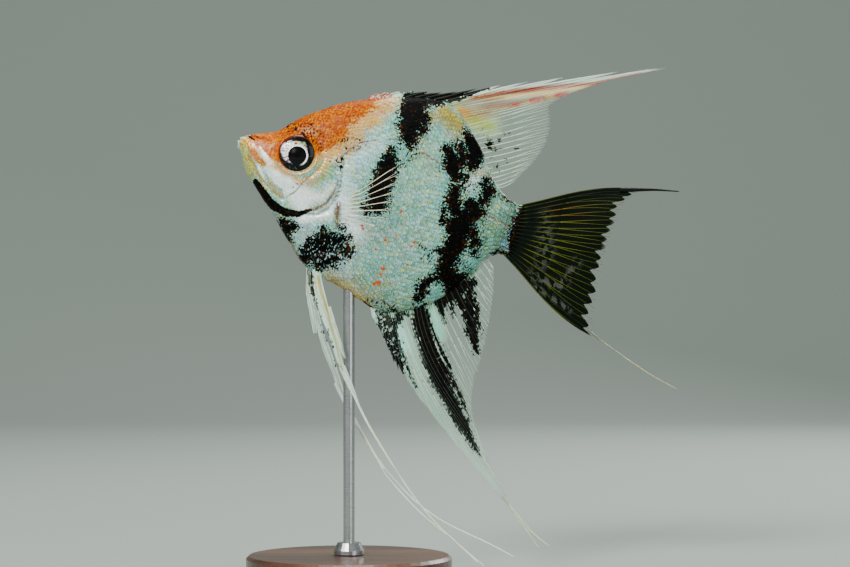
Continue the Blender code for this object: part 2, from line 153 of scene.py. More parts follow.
def slow_waves(x: Array, z: Array, size: float, turn: float = 0.0) -> Array:
    """A slow uneven field between about -1 and 1, made of crossing waves.

    Args:
        x: places along the body.
        z: places up the body.
        size: rough width of one wave in millimetres.
        turn: an offset that gives another field.

    Returns:
        The field's values.
    """
    k = math.tau / size
    first = np.sin(k * (x + 0.37 * z) + 1.3 + turn) * np.cos(k * (0.81 * z - 0.23 * x) + 0.4 + 2 * turn)
    second = np.sin(k * 1.9 * (0.6 * x - z) + 2.1 + 3 * turn)
    return 0.65 * first + 0.35 * second


@dataclass(frozen=True)
class Track:
    """A line on the flank through points (x, z), or brush marks (x, z, radius)."""

    points: Sequence[tuple[float, ...]]

    def spans(self, x: Array, z: Array) -> Iterator[tuple]:
        """Measures places against each span of the line; a single mark is a span of no length.

        Args:
            x: places along the body.
            z: places up the body.

        Yields:
            The span's start, its end, the share of it nearest to the places, the way from there to them
            in x and z, and how far that is.
        """
        marks = self.points if len(self.points) > 1 else (*self.points, *self.points)
        for a, b in zip(marks, marks[1:]):
            way_x, way_z = b[0] - a[0], b[1] - a[1]
            square = max(way_x ** 2 + way_z ** 2, 1e-9)
            t = np.clip(((x - a[0]) * way_x + (z - a[1]) * way_z) / square, 0, 1)
            away_x, away_z = x - a[0] - t * way_x, z - a[1] - t * way_z
            yield a, b, t, away_x, away_z, np.hypot(away_x, away_z)

    def near(self, x: Array, z: Array) -> tuple[Array, Array, Array]:
        """Finds the nearest point of the line.

        Args:
            x: places along the body.
            z: places up the body.

        Returns:
            The distance to the line, the distance signed by the side on which the place lies (positive
            to the left of the line's way), and the share of the line at the nearest point.
        """
        best, side, share = np.full(np.shape(x), 1e9), np.ones(np.shape(x)), np.zeros(np.shape(x))
        for i, (a, b, t, away_x, away_z, distance) in enumerate(self.spans(x, z)):
            closer = distance < best
            best = np.where(closer, distance, best)
            cross = (b[0] - a[0]) * away_z - (b[1] - a[1]) * away_x
            side = np.where(closer, np.where(cross >= 0, 1.0, -1.0), side)
            share = np.where(closer, (i + t) / (len(self.points) - 1), share)
        return best, best * side, share

    def depth(self, x: Array, z: Array) -> Array:
        """How deep places lie inside the chain of brush marks, in millimetres; negative outside."""
        inside = [a[2] + t * (b[2] - a[2]) - distance for a, b, t, _, _, distance in self.spans(x, z)]
        return np.max(inside, axis=0)


def deepest(chains: Sequence[Track], x: Array, z: Array) -> Array:
    """The greatest depth of places inside any of the chains, no less than far outside."""
    return np.max([np.full(np.shape(x), FAR_OUTSIDE), *(chain.depth(x, z) for chain in chains)], axis=0)


def tracks(*lines: Rows) -> tuple[Track, ...]:
    """Tracks, each through its row of points or brush marks."""
    return tuple(Track(line) for line in lines)


@dataclass(frozen=True)
class Zone:
    """A soft-edged wash of one colour along brush marks (x, z, radius); solid is for a fin's web."""

    colour: Colour
    marks: Rows
    soft: float
    strength: float
    solid: float = 1.0

    def cover(self, x: Array, z: Array) -> Array:
        """How much of the colour shows at places, 0 to 1."""
        return self.strength * smooth(-self.soft, self.soft, Track(self.marks).depth(x, z))


def webs(*rows: tuple) -> tuple[Zone, ...]:
    """Zones from rows of solidity, colour, softness, strength and brush marks."""
    return tuple(Zone(colour, marks, soft, strength, solid) for solid, colour, soft, strength, *marks in rows)


def zones(*rows: tuple) -> tuple[Zone, ...]:
    """Solid zones from rows of colour, softness, strength and brush marks."""
    return webs(*((1.0, *row) for row in rows))


def masks(*rows: tuple) -> tuple[Zone, ...]:
    """Zones whose colour isn't used, from rows of softness, strength and brush marks."""
    return zones(*((WHITE, *row) for row in rows))


def washed(ground: Colour, washes: Sequence[Zone], x: Array, z: Array) -> Array:
    """A ground colour at places, with the washes laid over it in turn."""
    colour = np.broadcast_to(np.array(ground), np.shape(x) + (3,))
    for wash in washes:
        cover = wash.cover(x, z)[..., None]
        colour = colour * (1 - cover) + np.array(wash.colour) * cover
    return colour


def most(covers: Sequence[Zone], x: Array, z: Array) -> Array:
    """The greatest cover of any of the zones, 0 where there is none."""
    return np.max([np.zeros(np.shape(x)), *(zone.cover(x, z) for zone in covers)], axis=0)


# ---------------------------------------------------------------- the pose and the body's form


@dataclass(frozen=True)
class Pose:
    """Turns body millimetres into metres of the frame, from the nose-up pitch and the eye's place."""

    pitch: float = math.radians(18.0)
    eye_x: float = 15.6
    eye_z: float = 2.4

    @cached_property
    def origin(self) -> Pair:
        """The snout's x and z in the frame, worked out from where the CAD eye stands."""
        low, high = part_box("eye_left")
        c, s = math.cos(self.pitch), math.sin(self.pitch)
        x = (low.x + high.x) / 2 - MM * (self.eye_x * c + self.eye_z * s)
        z = (low.z + high.z) / 2 - MM * (self.eye_z * c - self.eye_x * s)
        return x, z

    def place(self, points: Array) -> Array:
        """Body millimetres (..., 3) as metres of the frame."""
        c, s = math.cos(self.pitch), math.sin(self.pitch)
        x, y, z = np.moveaxis(np.asarray(points, float) * MM, -1, 0)
        return np.stack((self.origin[0] + x * c + z * s, y, self.origin[1] - x * s + z * c), -1)


POSE = Pose()


# Sections of the body from the snout back: the top x, z, the bottom x, z, the half width, and how
# pointed the section is, where 1 is an ellipse and less than 1 is boxier.
SECTIONS = (
    (-0.3, 1.3, 0, -1.1, 0.9, 0.7), (1, 2.8, 1.4, -2.2, 1.7, 0.72), (3.9, 4.4, 2.9, -4.9, 2.6, 0.76),
    (8.6, 6.5, 4.8, -7.2, 3.6, 0.82), (10.9, 8.9, 7.3, -9.1, 4.3, 0.88), (13.9, 12.1, 10.4, -11.7, 5, 0.94),
    (17.9, 15.4, 14, -14.6, 5.6, 0.98), (23.3, 19.1, 18.8, -19, 6.1, 1.02),
    (29.3, 22.1, 24.3, -23.6, 6.4, 1.05), (35.3, 24.5, 29.3, -26.2, 6.5, 1.08),
    (41.4, 26.5, 35.8, -27.3, 6.4, 1.1), (46.7, 27.5, 42.8, -29.1, 6.1, 1.12),
    (50.6, 27.1, 49, -30.3, 5.7, 1.14), (53.9, 25.1, 56, -27.8, 5.2, 1.14),
    (57.6, 22, 61.6, -23.6, 4.7, 1.12), (61.4, 18.3, 65.6, -18.6, 4.1, 1.08),
    (64.6, 14.2, 68.5, -13.6, 3.5, 1.04), (67.8, 10.9, 70.6, -9.4, 2.9, 1),
    (71.2, 8.7, 72.6, -7.2, 2.4, 0.96), (74, 7.9, 74.5, -6.2, 2, 0.92), (76.2, 8, 76.6, -6.2, 1.7, 0.9),
)


@dataclass(frozen=True)
class BodyForm:
    """The smooth outer form of the flesh, read by a share along it and a share down its flank."""

    sections: Rows = SECTIONS
    table_rings: int = 241
    table_steps: int = 161
    fine_steps: int = 721
    normal_steps: Pair = (0.002, 0.006)

    def ring_point(self, share: Array, angle: Array) -> Array:
        """Points of the sections: share along the body, angle up from mid-flank, on the right side."""
        top_x, top_z, low_x, low_z, half, pinch = np.moveaxis(curve_through(self.sections, share), -1, 0)
        up = np.sin(angle)
        x = (top_x + low_x) / 2 + (top_x - low_x) / 2 * up
        z = (top_z + low_z) / 2 + (top_z - low_z) / 2 * up
        y = half * np.maximum(np.cos(angle), 0) ** pinch
        return np.stack((x, y, z), -1)

    @cached_property
    def shares(self) -> Array:
        """The share along the body of each table ring."""
        return np.linspace(0, 1, self.table_rings)

    @cached_property
    def angles(self) -> Array:
        """For each ring and each even step from back to belly, the angle that keeps the steps even."""
        shares = self.shares[:, None]
        fine = np.linspace(math.pi / 2, -math.pi / 2, self.fine_steps)[None, :]
        points = self.ring_point(shares + 0 * fine, fine + 0 * shares)
        steps = np.linalg.norm(np.diff(points, axis=1), axis=-1)
        length = np.concatenate((np.zeros((len(steps), 1)), np.cumsum(steps, 1)), 1)
        even = np.linspace(0, 1, self.table_steps)
        return np.stack([np.interp(even * row[-1], row, fine[0]) for row in length])

    @cached_property
    def girths(self) -> Array:
        """Half the girth of each table ring, back to belly, in millimetres."""
        points = self.ring_point(self.shares[:, None] + 0 * self.angles, self.angles)
        return np.linalg.norm(np.diff(points, axis=1), axis=-1).sum(1)

    @cached_property
    def lengths(self) -> Array:
        """Distance along the middle of the flank from the snout to each table ring."""
        points = self.ring_point(self.shares, np.zeros_like(self.shares))
        return np.concatenate(([0.0], np.cumsum(np.linalg.norm(np.diff(points, axis=0), axis=-1))))

    def share_at(self, length: Array) -> Array:
        """The share along the body at a distance from the snout."""
        return np.interp(length, self.lengths, self.shares)

    def girth_at(self, share: Array) -> Array:
        """Half the girth at a share along the body."""
        return np.interp(share, self.shares, self.girths)

    def point(self, share: Array, down: Array, side: Array) -> Array:
        """Points of the flank.

        Args:
            share: share along the body, 0 at the snout.
            down: share of the way from back to belly along the skin.
            side: -1 on the left flank and 1 on the right.

        Returns:
            Body millimetres, shaped like the arguments with x, y, z last.
        """
        row = np.clip(share, 0, 1) * (self.table_rings - 1)
        column = np.clip(down, 0, 1) * (self.table_steps - 1)
        i = np.minimum(row.astype(int), self.table_rings - 2)
        j = np.minimum(column.astype(int), self.table_steps - 2)
        u, v = row - i, column - j
        t = self.angles
        angle = (
            t[i, j] * (1 - u) * (1 - v) + t[i + 1, j] * u * (1 - v)
            + t[i, j + 1] * (1 - u) * v + t[i + 1, j + 1] * u * v
        )
        points = self.ring_point(share, angle)
        points[..., 1] *= side
        return points

    def normal(self, share: Array, down: Array, side: Array) -> Array:
        """Outward normals of the flank, for arguments as in point."""
        step, drop = self.normal_steps
        low, high = np.clip(down - drop, 0, 1), np.clip(down + drop, 0, 1)
        ahead, behind = np.clip(share + step, 0, 1), np.clip(share - step, 0, 1)
        along = self.point(ahead, down, side) - self.point(behind, down, side)
        across = self.point(share, high, side) - self.point(share, low, side)
        return unit(np.cross(along, across) * np.asarray(side)[..., None])


FORM = BodyForm()


# ---------------------------------------------------------------- colours

SILVER = paint(118, 200, 180)
SILVER_GREY = paint(84, 140, 104)
DEEP_GREY = paint(44, 78, 64)
WHITE = paint(255, 255, 252)
# GLINT is the colour of the painted glints on the scales.
GLINT = paint(200, 252, 240)
PEARL = paint(196, 236, 220)
COOL_WHITE = paint(240, 255, 255)
CREAM = paint(196, 184, 10)
LIP = paint(240, 190, 24)
OLIVE = paint(172, 172, 78)
ORANGE = paint(188, 70, 0)
DEEP_ORANGE = paint(176, 4, 0)
YELLOW = paint(224, 166, 0)
GOLD = paint(168, 128, 16)
OCHRE = paint(112, 66, 10)
ROSE_BROWN = paint(108, 42, 22)
INK = paint(0, 2, 1)
INK_BROWN = paint(70, 34, 6)
BLUE_GLINT = paint(96, 160, 230)
RED = paint(168, 4, 0)


# ---------------------------------------------------------------- markings

# Chains of brush marks (x, z, radius): the black patches, the fine dark lines, the places that are dotted
# with black, and the patches that silver dashes break up.
INK_PATCHES = tracks(
    ((42.6, 14.9, 2.4), (41.8, 18.8, 3.6), (41, 23, 3.8), (40.1, 26, 2.8)),
    ((44, 22.3, 1.6), (45, 19.5, 1.4), (44.7, 17.2, 1.1)), ((38.4, 17.7, 0.8),),
    ((40.4, 14.8, 0.9), (41, 12.3, 0.5)),
    ((39.1, 25.7, 2.4), (43.1, 26.1, 2.4), (46.7, 27.8, 1.8), (50.2, 29.6, 1.2), (52.3, 30.8, 0.7)),
    ((39.3, 10, 1.7), (39.4, 7.4, 2.4), (39.3, 4, 2.9), (39.3, -0.6, 3.4), (39.6, -3.6, 3)),
    ((37.4, -5.6, 1.5), (40.2, -5.4, 1.7)),
    ((55.4, 21.3, 0.8), (57.9, 19.4, 2.4), (59.8, 17.4, 2.9), (60, 14.1, 2.4)), ((61.4, 18.3, 1.5),),
    ((53.3, 15.1, 1.8), (55.1, 12.1, 2.9), (57, 9.4, 1.9)), ((54.4, 17, 1.2), (58.6, 9.8, 1)),
    ((57.6, 6.4, 1.8), (58.1, 2.9, 2.2), (59.6, 0.6, 2.2)), ((59.5, 10.6, 0.8), (59.2, 7.4, 0.7)),
    ((63.3, 9.6, 0.7), (65, 10.4, 1.7), (66.3, 8, 2.2), (65.3, 4.9, 2), (63, 2.8, 2.2)),
    ((65.9, 2.7, 1.7), (62.5, 0.2, 3.2), (61.2, -3.3, 3.2)), ((56.8, 0.3, 0.9), (57.7, -2.8, 1.2)),
    ((64.4, -0.8, 1.5), (65.8, -2.8, 1.5), (66.6, -6, 1.6), (67.8, -8.3, 1.1)),
    ((62.9, -2.7, 3.1), (62.4, -7, 3.4), (61.7, -10.8, 2.9), (62.2, -15.1, 2.9)), ((59.4, -10.4, 1.4),),
    ((62.2, -15.1, 2.9), (65, -17, 3.6), (66.2, -19, 3)), ((67.1, -14.9, 1.9), (68.8, -17.3, 1.5)),
    ((63, -16.8, 1.6), (60.2, -17.4, 1.3), (58.2, -19.4, 1.6), (57.6, -21.6, 1.8), (57.8, -24, 1.5)),
    ((17.4, -15.9, 1.5), (19.2, -17.4, 2.1), (20.8, -16.2, 1.4)), ((19.6, -19.4, 1.6),),
    ((55.8, 17.9, 1.5), (57.6, 12.6, 1.6)),
    ((25.6, -23.8, 1.7), (27, -20.6, 2.7), (29.2, -17.8, 3.3), (31.6, -17.2, 3.1), (34.2, -15.4, 1.8)),
    ((28.4, -14.6, 1.2),), ((29.8, -23, 2.4), (33, -21.6, 2.2), (35.6, -18.4, 1.6)), ((32.8, -12.8, 1),),
    ((36.5, -17.4, 0.9),), ((24.2, -21.6, 0.7),), ((52.5, -29.3, 0.7), (53, -30.8, 0.7)),
    ((58, -26.4, 1), (59.6, -25.8, 1.2)), ((69.4, 8.9, 0.5), (72.4, 7.9, 0.6), (74.8, 7.8, 0.8)),
    ((72.6, -6.4, 0.6), (74.6, -5.6, 0.8)),
    ((76.6, 8.4, 1.7), (76.2, 5.6, 1.7), (76.3, 2.9, 1.8), (76.4, -1.1, 1.6), (76.8, -4.7, 1.5)),
)
DARK_LINES = tracks(
    ((7.6, -8.1, 0.9), (11, -10.8, 1.4), (13.9, -12.5, 1.3), (17.2, -13.3, 1.05), (20.8, -12.7, 0.8),
     (23.6, -10.6, 0.4)), ((10.6, -9, 0.2), (12.8, -11, 0.28), (16, -12.4, 0.3)), ((10.9, 8.5, 0.35),),
    ((13.4, 8.4, 0.45),), ((15.4, 7.9, 0.4), (16.6, 7, 0.3)), ((30.2, 10.7, 0.35),), ((27.8, 2.5, 0.5),),
    ((27.4, 4.6, 0.4),), ((26.6, 3.4, 0.3),), ((24.8, 3.1, 0.25),), ((2.2, 2.9, 0.35), (4, 2.3, 0.2)),
    ((3.6, 3.4, 0.15), (5.4, 3.3, 0.15)), ((17.6, -6.4, 0.22),), ((18.4, -5.2, 0.2),),
    ((46.6, -31, 0.3), (49.6, -31.4, 0.6)), ((44, -29, 0.2), (46.4, -30.2, 0.4)),
)
FLECKED = tracks(
    ((9.6, 8.6, 1.2), (13.4, 8.6, 1.8), (16.6, 9.2, 2.2), (19.8, 7.8, 2), (20.8, 5.6, 1.2)),
    ((1.6, 3.2, 0.7), (3.6, 3.6, 0.5)), ((28, 7.4, 1), (31.6, 9.8, 0.9)), ((27, 3.6, 1.4), (27.6, 1, 0.8)),
    ((24.6, 8.6, 0.8), (30, 11, 0.6)), ((54.2, -9.8, 1.6), (56, -12.4, 2.2)),
    ((60.8, -13, 1.6), (64, -11, 2.2), (67, -12.4, 1.6)), ((45, -28.6, 1.2), (51.6, -28.8, 1.8)),
    ((60.6, 4.6, 2.4), (61.6, 8.4, 1.6)), ((43, 8, 1), (45, 12.4, 1.6)),
    ((34.6, -15, 2.4), (36.6, -17.6, 2)), ((66.6, -1, 2), (69, -6, 1.4)),
)
FROSTED = tracks(
    ((27, -21, 1.4), (30, -18, 2.8), (34, -15.6, 2)), ((31, -22.6, 2), (34, -20, 2)),
)
# Single brush marks (x, z, radius).
ORANGE_SPECKS = tuple(Track((mark,)) for mark in (
    (37.7, -10.3, 0.42), (38.1, -11.1, 0.4), (44.8, -8.6, 0.3), (47.1, -10.1, 0.35), (44.6, -12, 0.35),
    (52, -10.4, 0.4), (51.6, -11.6, 0.35), (46.3, -19.2, 0.55), (46.1, -20.9, 0.4), (46.2, -23.1, 0.6),
    (45.4, -23.7, 0.5), (43.1, -15.1, 0.3), (46.2, -3.8, 0.4), (52.1, -16.4, 0.3), (49.3, -22.4, 0.35),
    (43, -4, 0.3), (60.2, 4.4, 0.3),
))
# Lines through (x, z): the edge of the orange cap, then the edges, folds and seams of the head and flank.
CAP_EDGE = Track((
    (1.9, 4.6), (2.4, 2.4), (4.7, 1), (8.9, -0.7), (11, -1.3), (14.4, -2.6), (18.4, -0.6), (21, 2.9),
    (22.3, 5.5), (24.7, 7.5), (26.8, 10.6), (27, 14.7), (30.1, 18.5), (32.4, 23.6), (33, 30),
))
GILL_EDGE = Track((
    (26.3, 7.2), (27.6, 4.4), (28.3, 1.5), (28.9, -1.2), (29, -3.6), (28.7, -6.4), (27.9, -8.4),
    (25.6, -10.9), (22.3, -11.8), (16.9, -12.2), (11.7, -10.5), (8.1, -8.1),
))
PREOPERCLE = Track((
    (22.7, 3), (22.6, 0.7), (21, -1.7), (19.5, -4.7), (19, -5.9), (18.2, -7.6), (16.5, -9.2),
))
JAW_LINE = Track((
    (1.5, 1.3), (2.3, 0.2), (3.3, -1.7), (5.6, -4.2), (8.8, -6.9), (12.7, -9.3), (15.7, -10.2), (17, -9.5),
))
GOLD_LINE = Track(((9.5, -4.2), (12.9, -6.2)))
LATERAL_LINES = tracks(
    ((27, 4.6), (28.6, 7.6), (31, 10.4), (34.2, 12), (38.4, 13.6), (41, 14)),
    ((44.6, 13.2), (49, 12.1), (53.2, 10.9)), ((67.6, 2.4), (70.8, 2), (74.2, 1.2)),
)
BREAST_FOLDS = tracks(
    ((25, -12.4), (28.2, -11), (30, -8.8), (30.6, -6.4)), ((22, -13.4), (26, -14.6), (29, -13)),
)
EYE_X, EYE_Z, EYE_RADIUS = 15.97, 2.12, 4.90

# Washes of the pale ground, each over the ones before: colour, softness, strength, then brush marks
# (x, z, radius). Most are the fish's own colours; those marked below are painted light and shade.
WASHES = zones(
    # Painted shade: the lower flank and belly darkened towards grey.
    (SILVER_GREY, 5, 0.6, (40, -25, 4.6), (52, -26.5, 4.6)),
    (paint(186, 214, 222), 3, 0.75, (22, -16.6, 2.6), (28, -20, 3.6), (36, -22, 3), (37, -16, 2)),
    (paint(138, 176, 164), 7, 0.55, (42, -12, 6), (51, -8, 5), (51, -16, 5)),
    (paint(176, 200, 150), 5, 0.4, (47, 4, 3), (48, 12, 2.4)),
    (GOLD, 2.2, 0.4, (43.6, -11.2, 1.2), (45.4, -12.4, 0.8)),
    (GOLD, 2.2, 0.4, (45.8, 12.8, 1.2), (51.6, 8.6, 0.8)),
    (GOLD, 1.8, 0.4, (46, -21.6, 1.2), (47.6, -23.6, 0.8)),
    (paint(212, 252, 255), 3, 0.8, (30.4, -2, 2.4), (30.4, 3.6, 2.6), (33, 8, 2.4), (35.5, 12, 1.6)),
    # Painted highlight: a cool white glare on the shoulder behind the gill cover.
    (COOL_WHITE, 3, 0.95, (31.5, -5, 2), (33, -8.6, 3.2), (36.4, -12, 2.8)),
    # Painted shade: the tail stalk darkened towards grey.
    (SILVER_GREY, 3.5, 0.8, (69, 4, 4.6), (72, -3, 5.5)),
    (DEEP_GREY, 2, 0.75, (73.4, 6.6, 1.4), (73.6, 0, 1.6), (73.6, -5, 1.2)),
    (WHITE, 1.6, 0.6, (64, 14.5, 0.9), (60.8, 8, 1)),
    # Partly painted highlight: the cheek's own silver-white is lifted further towards white.
    (COOL_WHITE, 1.8, 0.95, (9.6, -3.4, 1.6), (14.5, -5.2, 3), (19.5, -8.4, 3), (21, -10, 2.4)),
    (COOL_WHITE, 1.4, 0.95, (22.2, -13.6, 1.5), (27.4, -10.6, 1.9), (30.2, -7.4, 2)),
    (paint(88, 190, 140), 1.3, 0.9, (24.2, 0.6, 2.4), (24.8, -1.6, 2.2)),
    (paint(112, 200, 220), 1.3, 0.6, (26.2, -2, 0.8), (25, -3.4, 0.8)),
    (paint(104, 76, 52), 0.22, 0.85, (22.6, 1.6, 0.05), (21, -1.7, 0.08), (19.5, -4.7, 0.12),
     (18.2, -7.6, 0.14), (16.6, -9.4, 0.1)),
    (paint(150, 176, 40), 1.1, 0.4, (23, 1.6, 1), (24.2, 0, 0.7), (23.4, -4.6, 0.5)),
    (WHITE, 1.8, 0.85, (21.6, -7.4, 2.4), (25.4, -6.6, 1.6), (27, -3, 0.8)),
    (PEARL, 1, 0.8, (28.6, 5, 1.4), (28, 1, 0.8)),
    (GOLD, 0.8, 0.8, (11.6, -7.2, 0.5), (14.3, -8.8, 0.8)),
    (SILVER_GREY, 0.5, 0.7, (9.6, -5.6, 0.3), (12.2, -7.6, 0.35), (14.8, -8, 0.3)),
    (OCHRE, 0.6, 0.6, (8.6, -7.4, 0.5), (10.6, -8.6, 0.5)),
    (OCHRE, 0.6, 0.75, (15.2, -9.4, 0.6)),
    (paint(196, 150, 0), 0.5, 0.7, (9.8, -1.9, 0.7), (11.6, -2.5, 0.8), (14, -3.2, 0.6), (17, -3.1, 0.6),
     (19.4, -1.4, 0.6), (20.9, 1.2, 0.65), (21.8, 4.4, 0.7), (23.4, 7.2, 0.8)),
    (GOLD, 1, 0.55, (24.6, 4.4, 0.5), (25.6, 7, 0.8)),
    (PEARL, 0.5, 0.8, (0.9, -0.6, 0.5), (1.9, -2.8, 0.6), (2.9, -5, 0.6), (4.4, -7, 0.5)),
    (WHITE, 0.5, 1, (5.6, 1.4, 0.8), (7.4, -0.2, 0.9), (9.6, -2, 0.9)),
    (paint(196, 176, 96), 0.9, 0.6, (7, -5.6, 1.2), (11, -8, 1.2), (15, -9.6, 0.8)),
    (OLIVE, 0.6, 0.95, (1.4, -0.4, 0.9), (2.8, -2.4, 1.3), (4, -4.8, 1.5), (5.6, -7, 1.2)),
    (paint(180, 112, 0), 0.5, 0.9, (3.8, -2.2, 0.5), (6, -4.2, 0.4)),
    (paint(182, 76, 0), 0.35, 1, (2.6, 2, 0.7), (4, -0.2, 1), (6, -2, 0.9), (8.2, -3, 0.8)),
    (ORANGE, 0.4, 0.9, (1.3, -3.6, 0.1), (3, -6.2, 0.25), (4.6, -7.9, 0.4), (6.4, -8.6, 0.3)),
    (GOLD, 0.5, 0.8, (5.4, -4, 0.25), (6.8, -5.4, 0.35), (8.8, -7, 0.3)),
    (WHITE, 0.4, 0.8, (7, -3.8, 0.3), (8.2, -5.2, 0.35), (9.6, -6.6, 0.25)),
    (LIP, 0.6, 0.95, (0.2, 0.5, 0.8), (0.9, 2, 0.9), (1.8, 1, 0.7)),
    (PEARL, 0.3, 0.8, (-0.2, -0.2, 0.35), (0.2, 1, 0.3), (0.7, 2.4, 0.3)),
    (ORANGE, 0.4, 0.7, (0.5, 0.3, 0.35), (1.4, 0.1, 0.3)),
    (ORANGE, 0.4, 0.55, (1.3, 2.2, 0.3)),
    (OCHRE, 1, 0.85, (14.4, -14.6, 0.7), (18, -15.6, 0.6), (20.9, -20.1, 0.9), (24.2, -23.6, 0.8),
     (27.1, -26, 0.8)),
    (paint(122, 112, 84), 2.4, 0.75, (39, -24.6, 1.2), (45, -26.8, 1.6), (49, -27.6, 1.4)),
    (YELLOW, 0.9, 0.7, (33, -26.4, 0.6), (38, -28, 0.8), (42, -29.4, 0.6), (46, -30.4, 0.5)),
    (paint(190, 168, 110), 1.4, 0.8, (33, -25.2, 1.2), (38, -26.6, 1.8), (44, -28.6, 1.6)),
    (GOLD, 1, 0.8, (34.7, -26.4, 0.8), (40.3, -28.2, 0.9), (46.2, -30, 0.8)),
    (ROSE_BROWN, 0.5, 0.95, (30, -6.8, 0.7), (30.6, -9.4, 0.85), (31.6, -12.4, 0.4)),
    (paint(172, 142, 0), 2.2, 0.85, (45.6, 22.4, 1.4), (49, 23.6, 2.2), (52.6, 22, 2.4), (54.8, 20.4, 1.4)),
    (paint(186, 160, 0), 1.4, 0.9, (48, 25.4, 1), (50.6, 24.6, 1.4), (53.6, 23, 1.2)),
    (ORANGE, 1, 0.45, (51.6, 19.6, 0.5), (54, 18, 0.4)),
    (OCHRE, 0.9, 0.55, (46.4, 20.8, 0.8), (46, 16.8, 0.7), (44.6, 14.2, 0.6)),
    (GOLD, 1.2, 0.7, (59.6, 11.6, 0.5), (63.2, 12.6, 0.9), (66, 12, 0.7)),
    (BLUE_GLINT, 0.6, 0.85, (74.2, -3.2, 0.4), (76.4, -4.4, 0.5), (78.6, -5.4, 0.4)),
    (BLUE_GLINT, 0.5, 0.6, (74.6, 0.4, 0.25), (75.2, -1.6, 0.3)),
    (ROSE_BROWN, 0.35, 0.95, (22.6, -11.2, 0.35), (25, -9.8, 0.45), (27, -7.7, 0.5), (28, -4.9, 0.4),
     (28.3, -2.5, 0.3), (28.1, -0.4, 0.15)),
)
# The pale streak that runs into the cap behind the lips.
CAP_STREAK = masks((0.25, 1, (5.9, 1, 0.1), (7, 0, 0.3), (9, -1.4, 0.3)))


@dataclass(frozen=True)
class Markings:
    """The colour fields of the whole fish, read at places on a flank."""

    drift: Pair = (1.6, 1.4)
    drift_sizes: Pair = (19.0, 16.0)
    drift_turns: Pair = (0.7, 2.9)
    drift_behind: Pair = (24.0, 34.0)
    drift_beyond: Pair = (0.4, 3.0)
    streak_depth: float = 2.2
    heat_over: Pair = (3.0, 13.0)

    def shifted(self, points: Array) -> tuple[Array, Array]:
        """Body places as the left flank's x and z; the right flank has its own small differences."""
        x, y, z = np.moveaxis(points, -1, 0)
        far = smooth(*self.drift_beyond, y) * smooth(*self.drift_behind, x)
        moves = zip((x, z), self.drift, self.drift_sizes, self.drift_turns)
        return tuple(at + far * way * slow_waves(x, z, size, turn) for at, way, size, turn in moves)

    def fields(self, points: Array) -> dict[str, Array]:
        """The attributes that skin and scales share.

        Args:
            points: body millimetres, (n, 3).

        Returns:
            Arrays by attribute name.
        """
        x, z = self.shifted(points)
        cap = CAP_EDGE.near(x, z)[1]
        chains = {
            "ink": INK_PATCHES, "line": DARK_LINES, "fleck": FLECKED, "frost": FROSTED,
            "speck": ORANGE_SPECKS,
        }
        return {
            **{name: deepest(chain, x, z) for name, chain in chains.items()},
            "tone": washed(SILVER, WASHES, x, z),
            "seam": -np.min([line.near(x, z)[0] for line in LATERAL_LINES], axis=0),
            "cap": cap - self.streak_depth * most(CAP_STREAK, x, z),
            "heat": smooth(*self.heat_over, cap),
            "body": points,
        }


MARKINGS = Markings()


# Raised and sunken lines: the track, its height, its width, how far beside the track it lies, and whether
# it fades towards its ends.
GROOVES = (
    (JAW_LINE, -0.26, 0.28, 0.0, True), (JAW_LINE, 0.12, 0.6, 0.8, True), (GOLD_LINE, -0.10, 0.2, 0.0, False),
    *((fold, 0.16, 0.5, 0.0, True) for fold in BREAST_FOLDS),
)
# Edges of plates: the track, the plate's height before it and how far that reaches, then the dip's depth
# and width.
PLATES = ((GILL_EDGE, 0.38, 3.4, 0.26, 1.0), (PREOPERCLE, 0.16, 2.2, 0.10, 0.6))
# Round swellings and rings: the middle's x and z, how many times taller than wide, the ring's radius, its
# height and its width. They are the eye's rim and furrow, the cheek, the gill cover, the pectoral fin's
# root and the nostril with its rim.
ROUNDS = (
    (EYE_X, EYE_Z, 1.0, EYE_RADIUS + 0.35, 0.22, 0.5), (EYE_X, EYE_Z, 1.0, EYE_RADIUS + 1.7, -0.10, 0.7),
    (13.5, -5.4, 1.0, 0.0, 0.35, 4.0), (23.6, -1.5, 1.0, 0.0, 0.25, 4.2), (30.6, -8.6, 2.4, 0.0, 0.45, 1.3),
    (6.4, 3.6, 1.0, 0.0, -0.30, 0.45), (6.4, 3.6, 1.0, 0.75, 0.10, 0.3),
)
LIP_SLIT = Track(((-0.6, 1.35), (0.6, 1.25), (1.9, 0.95)))


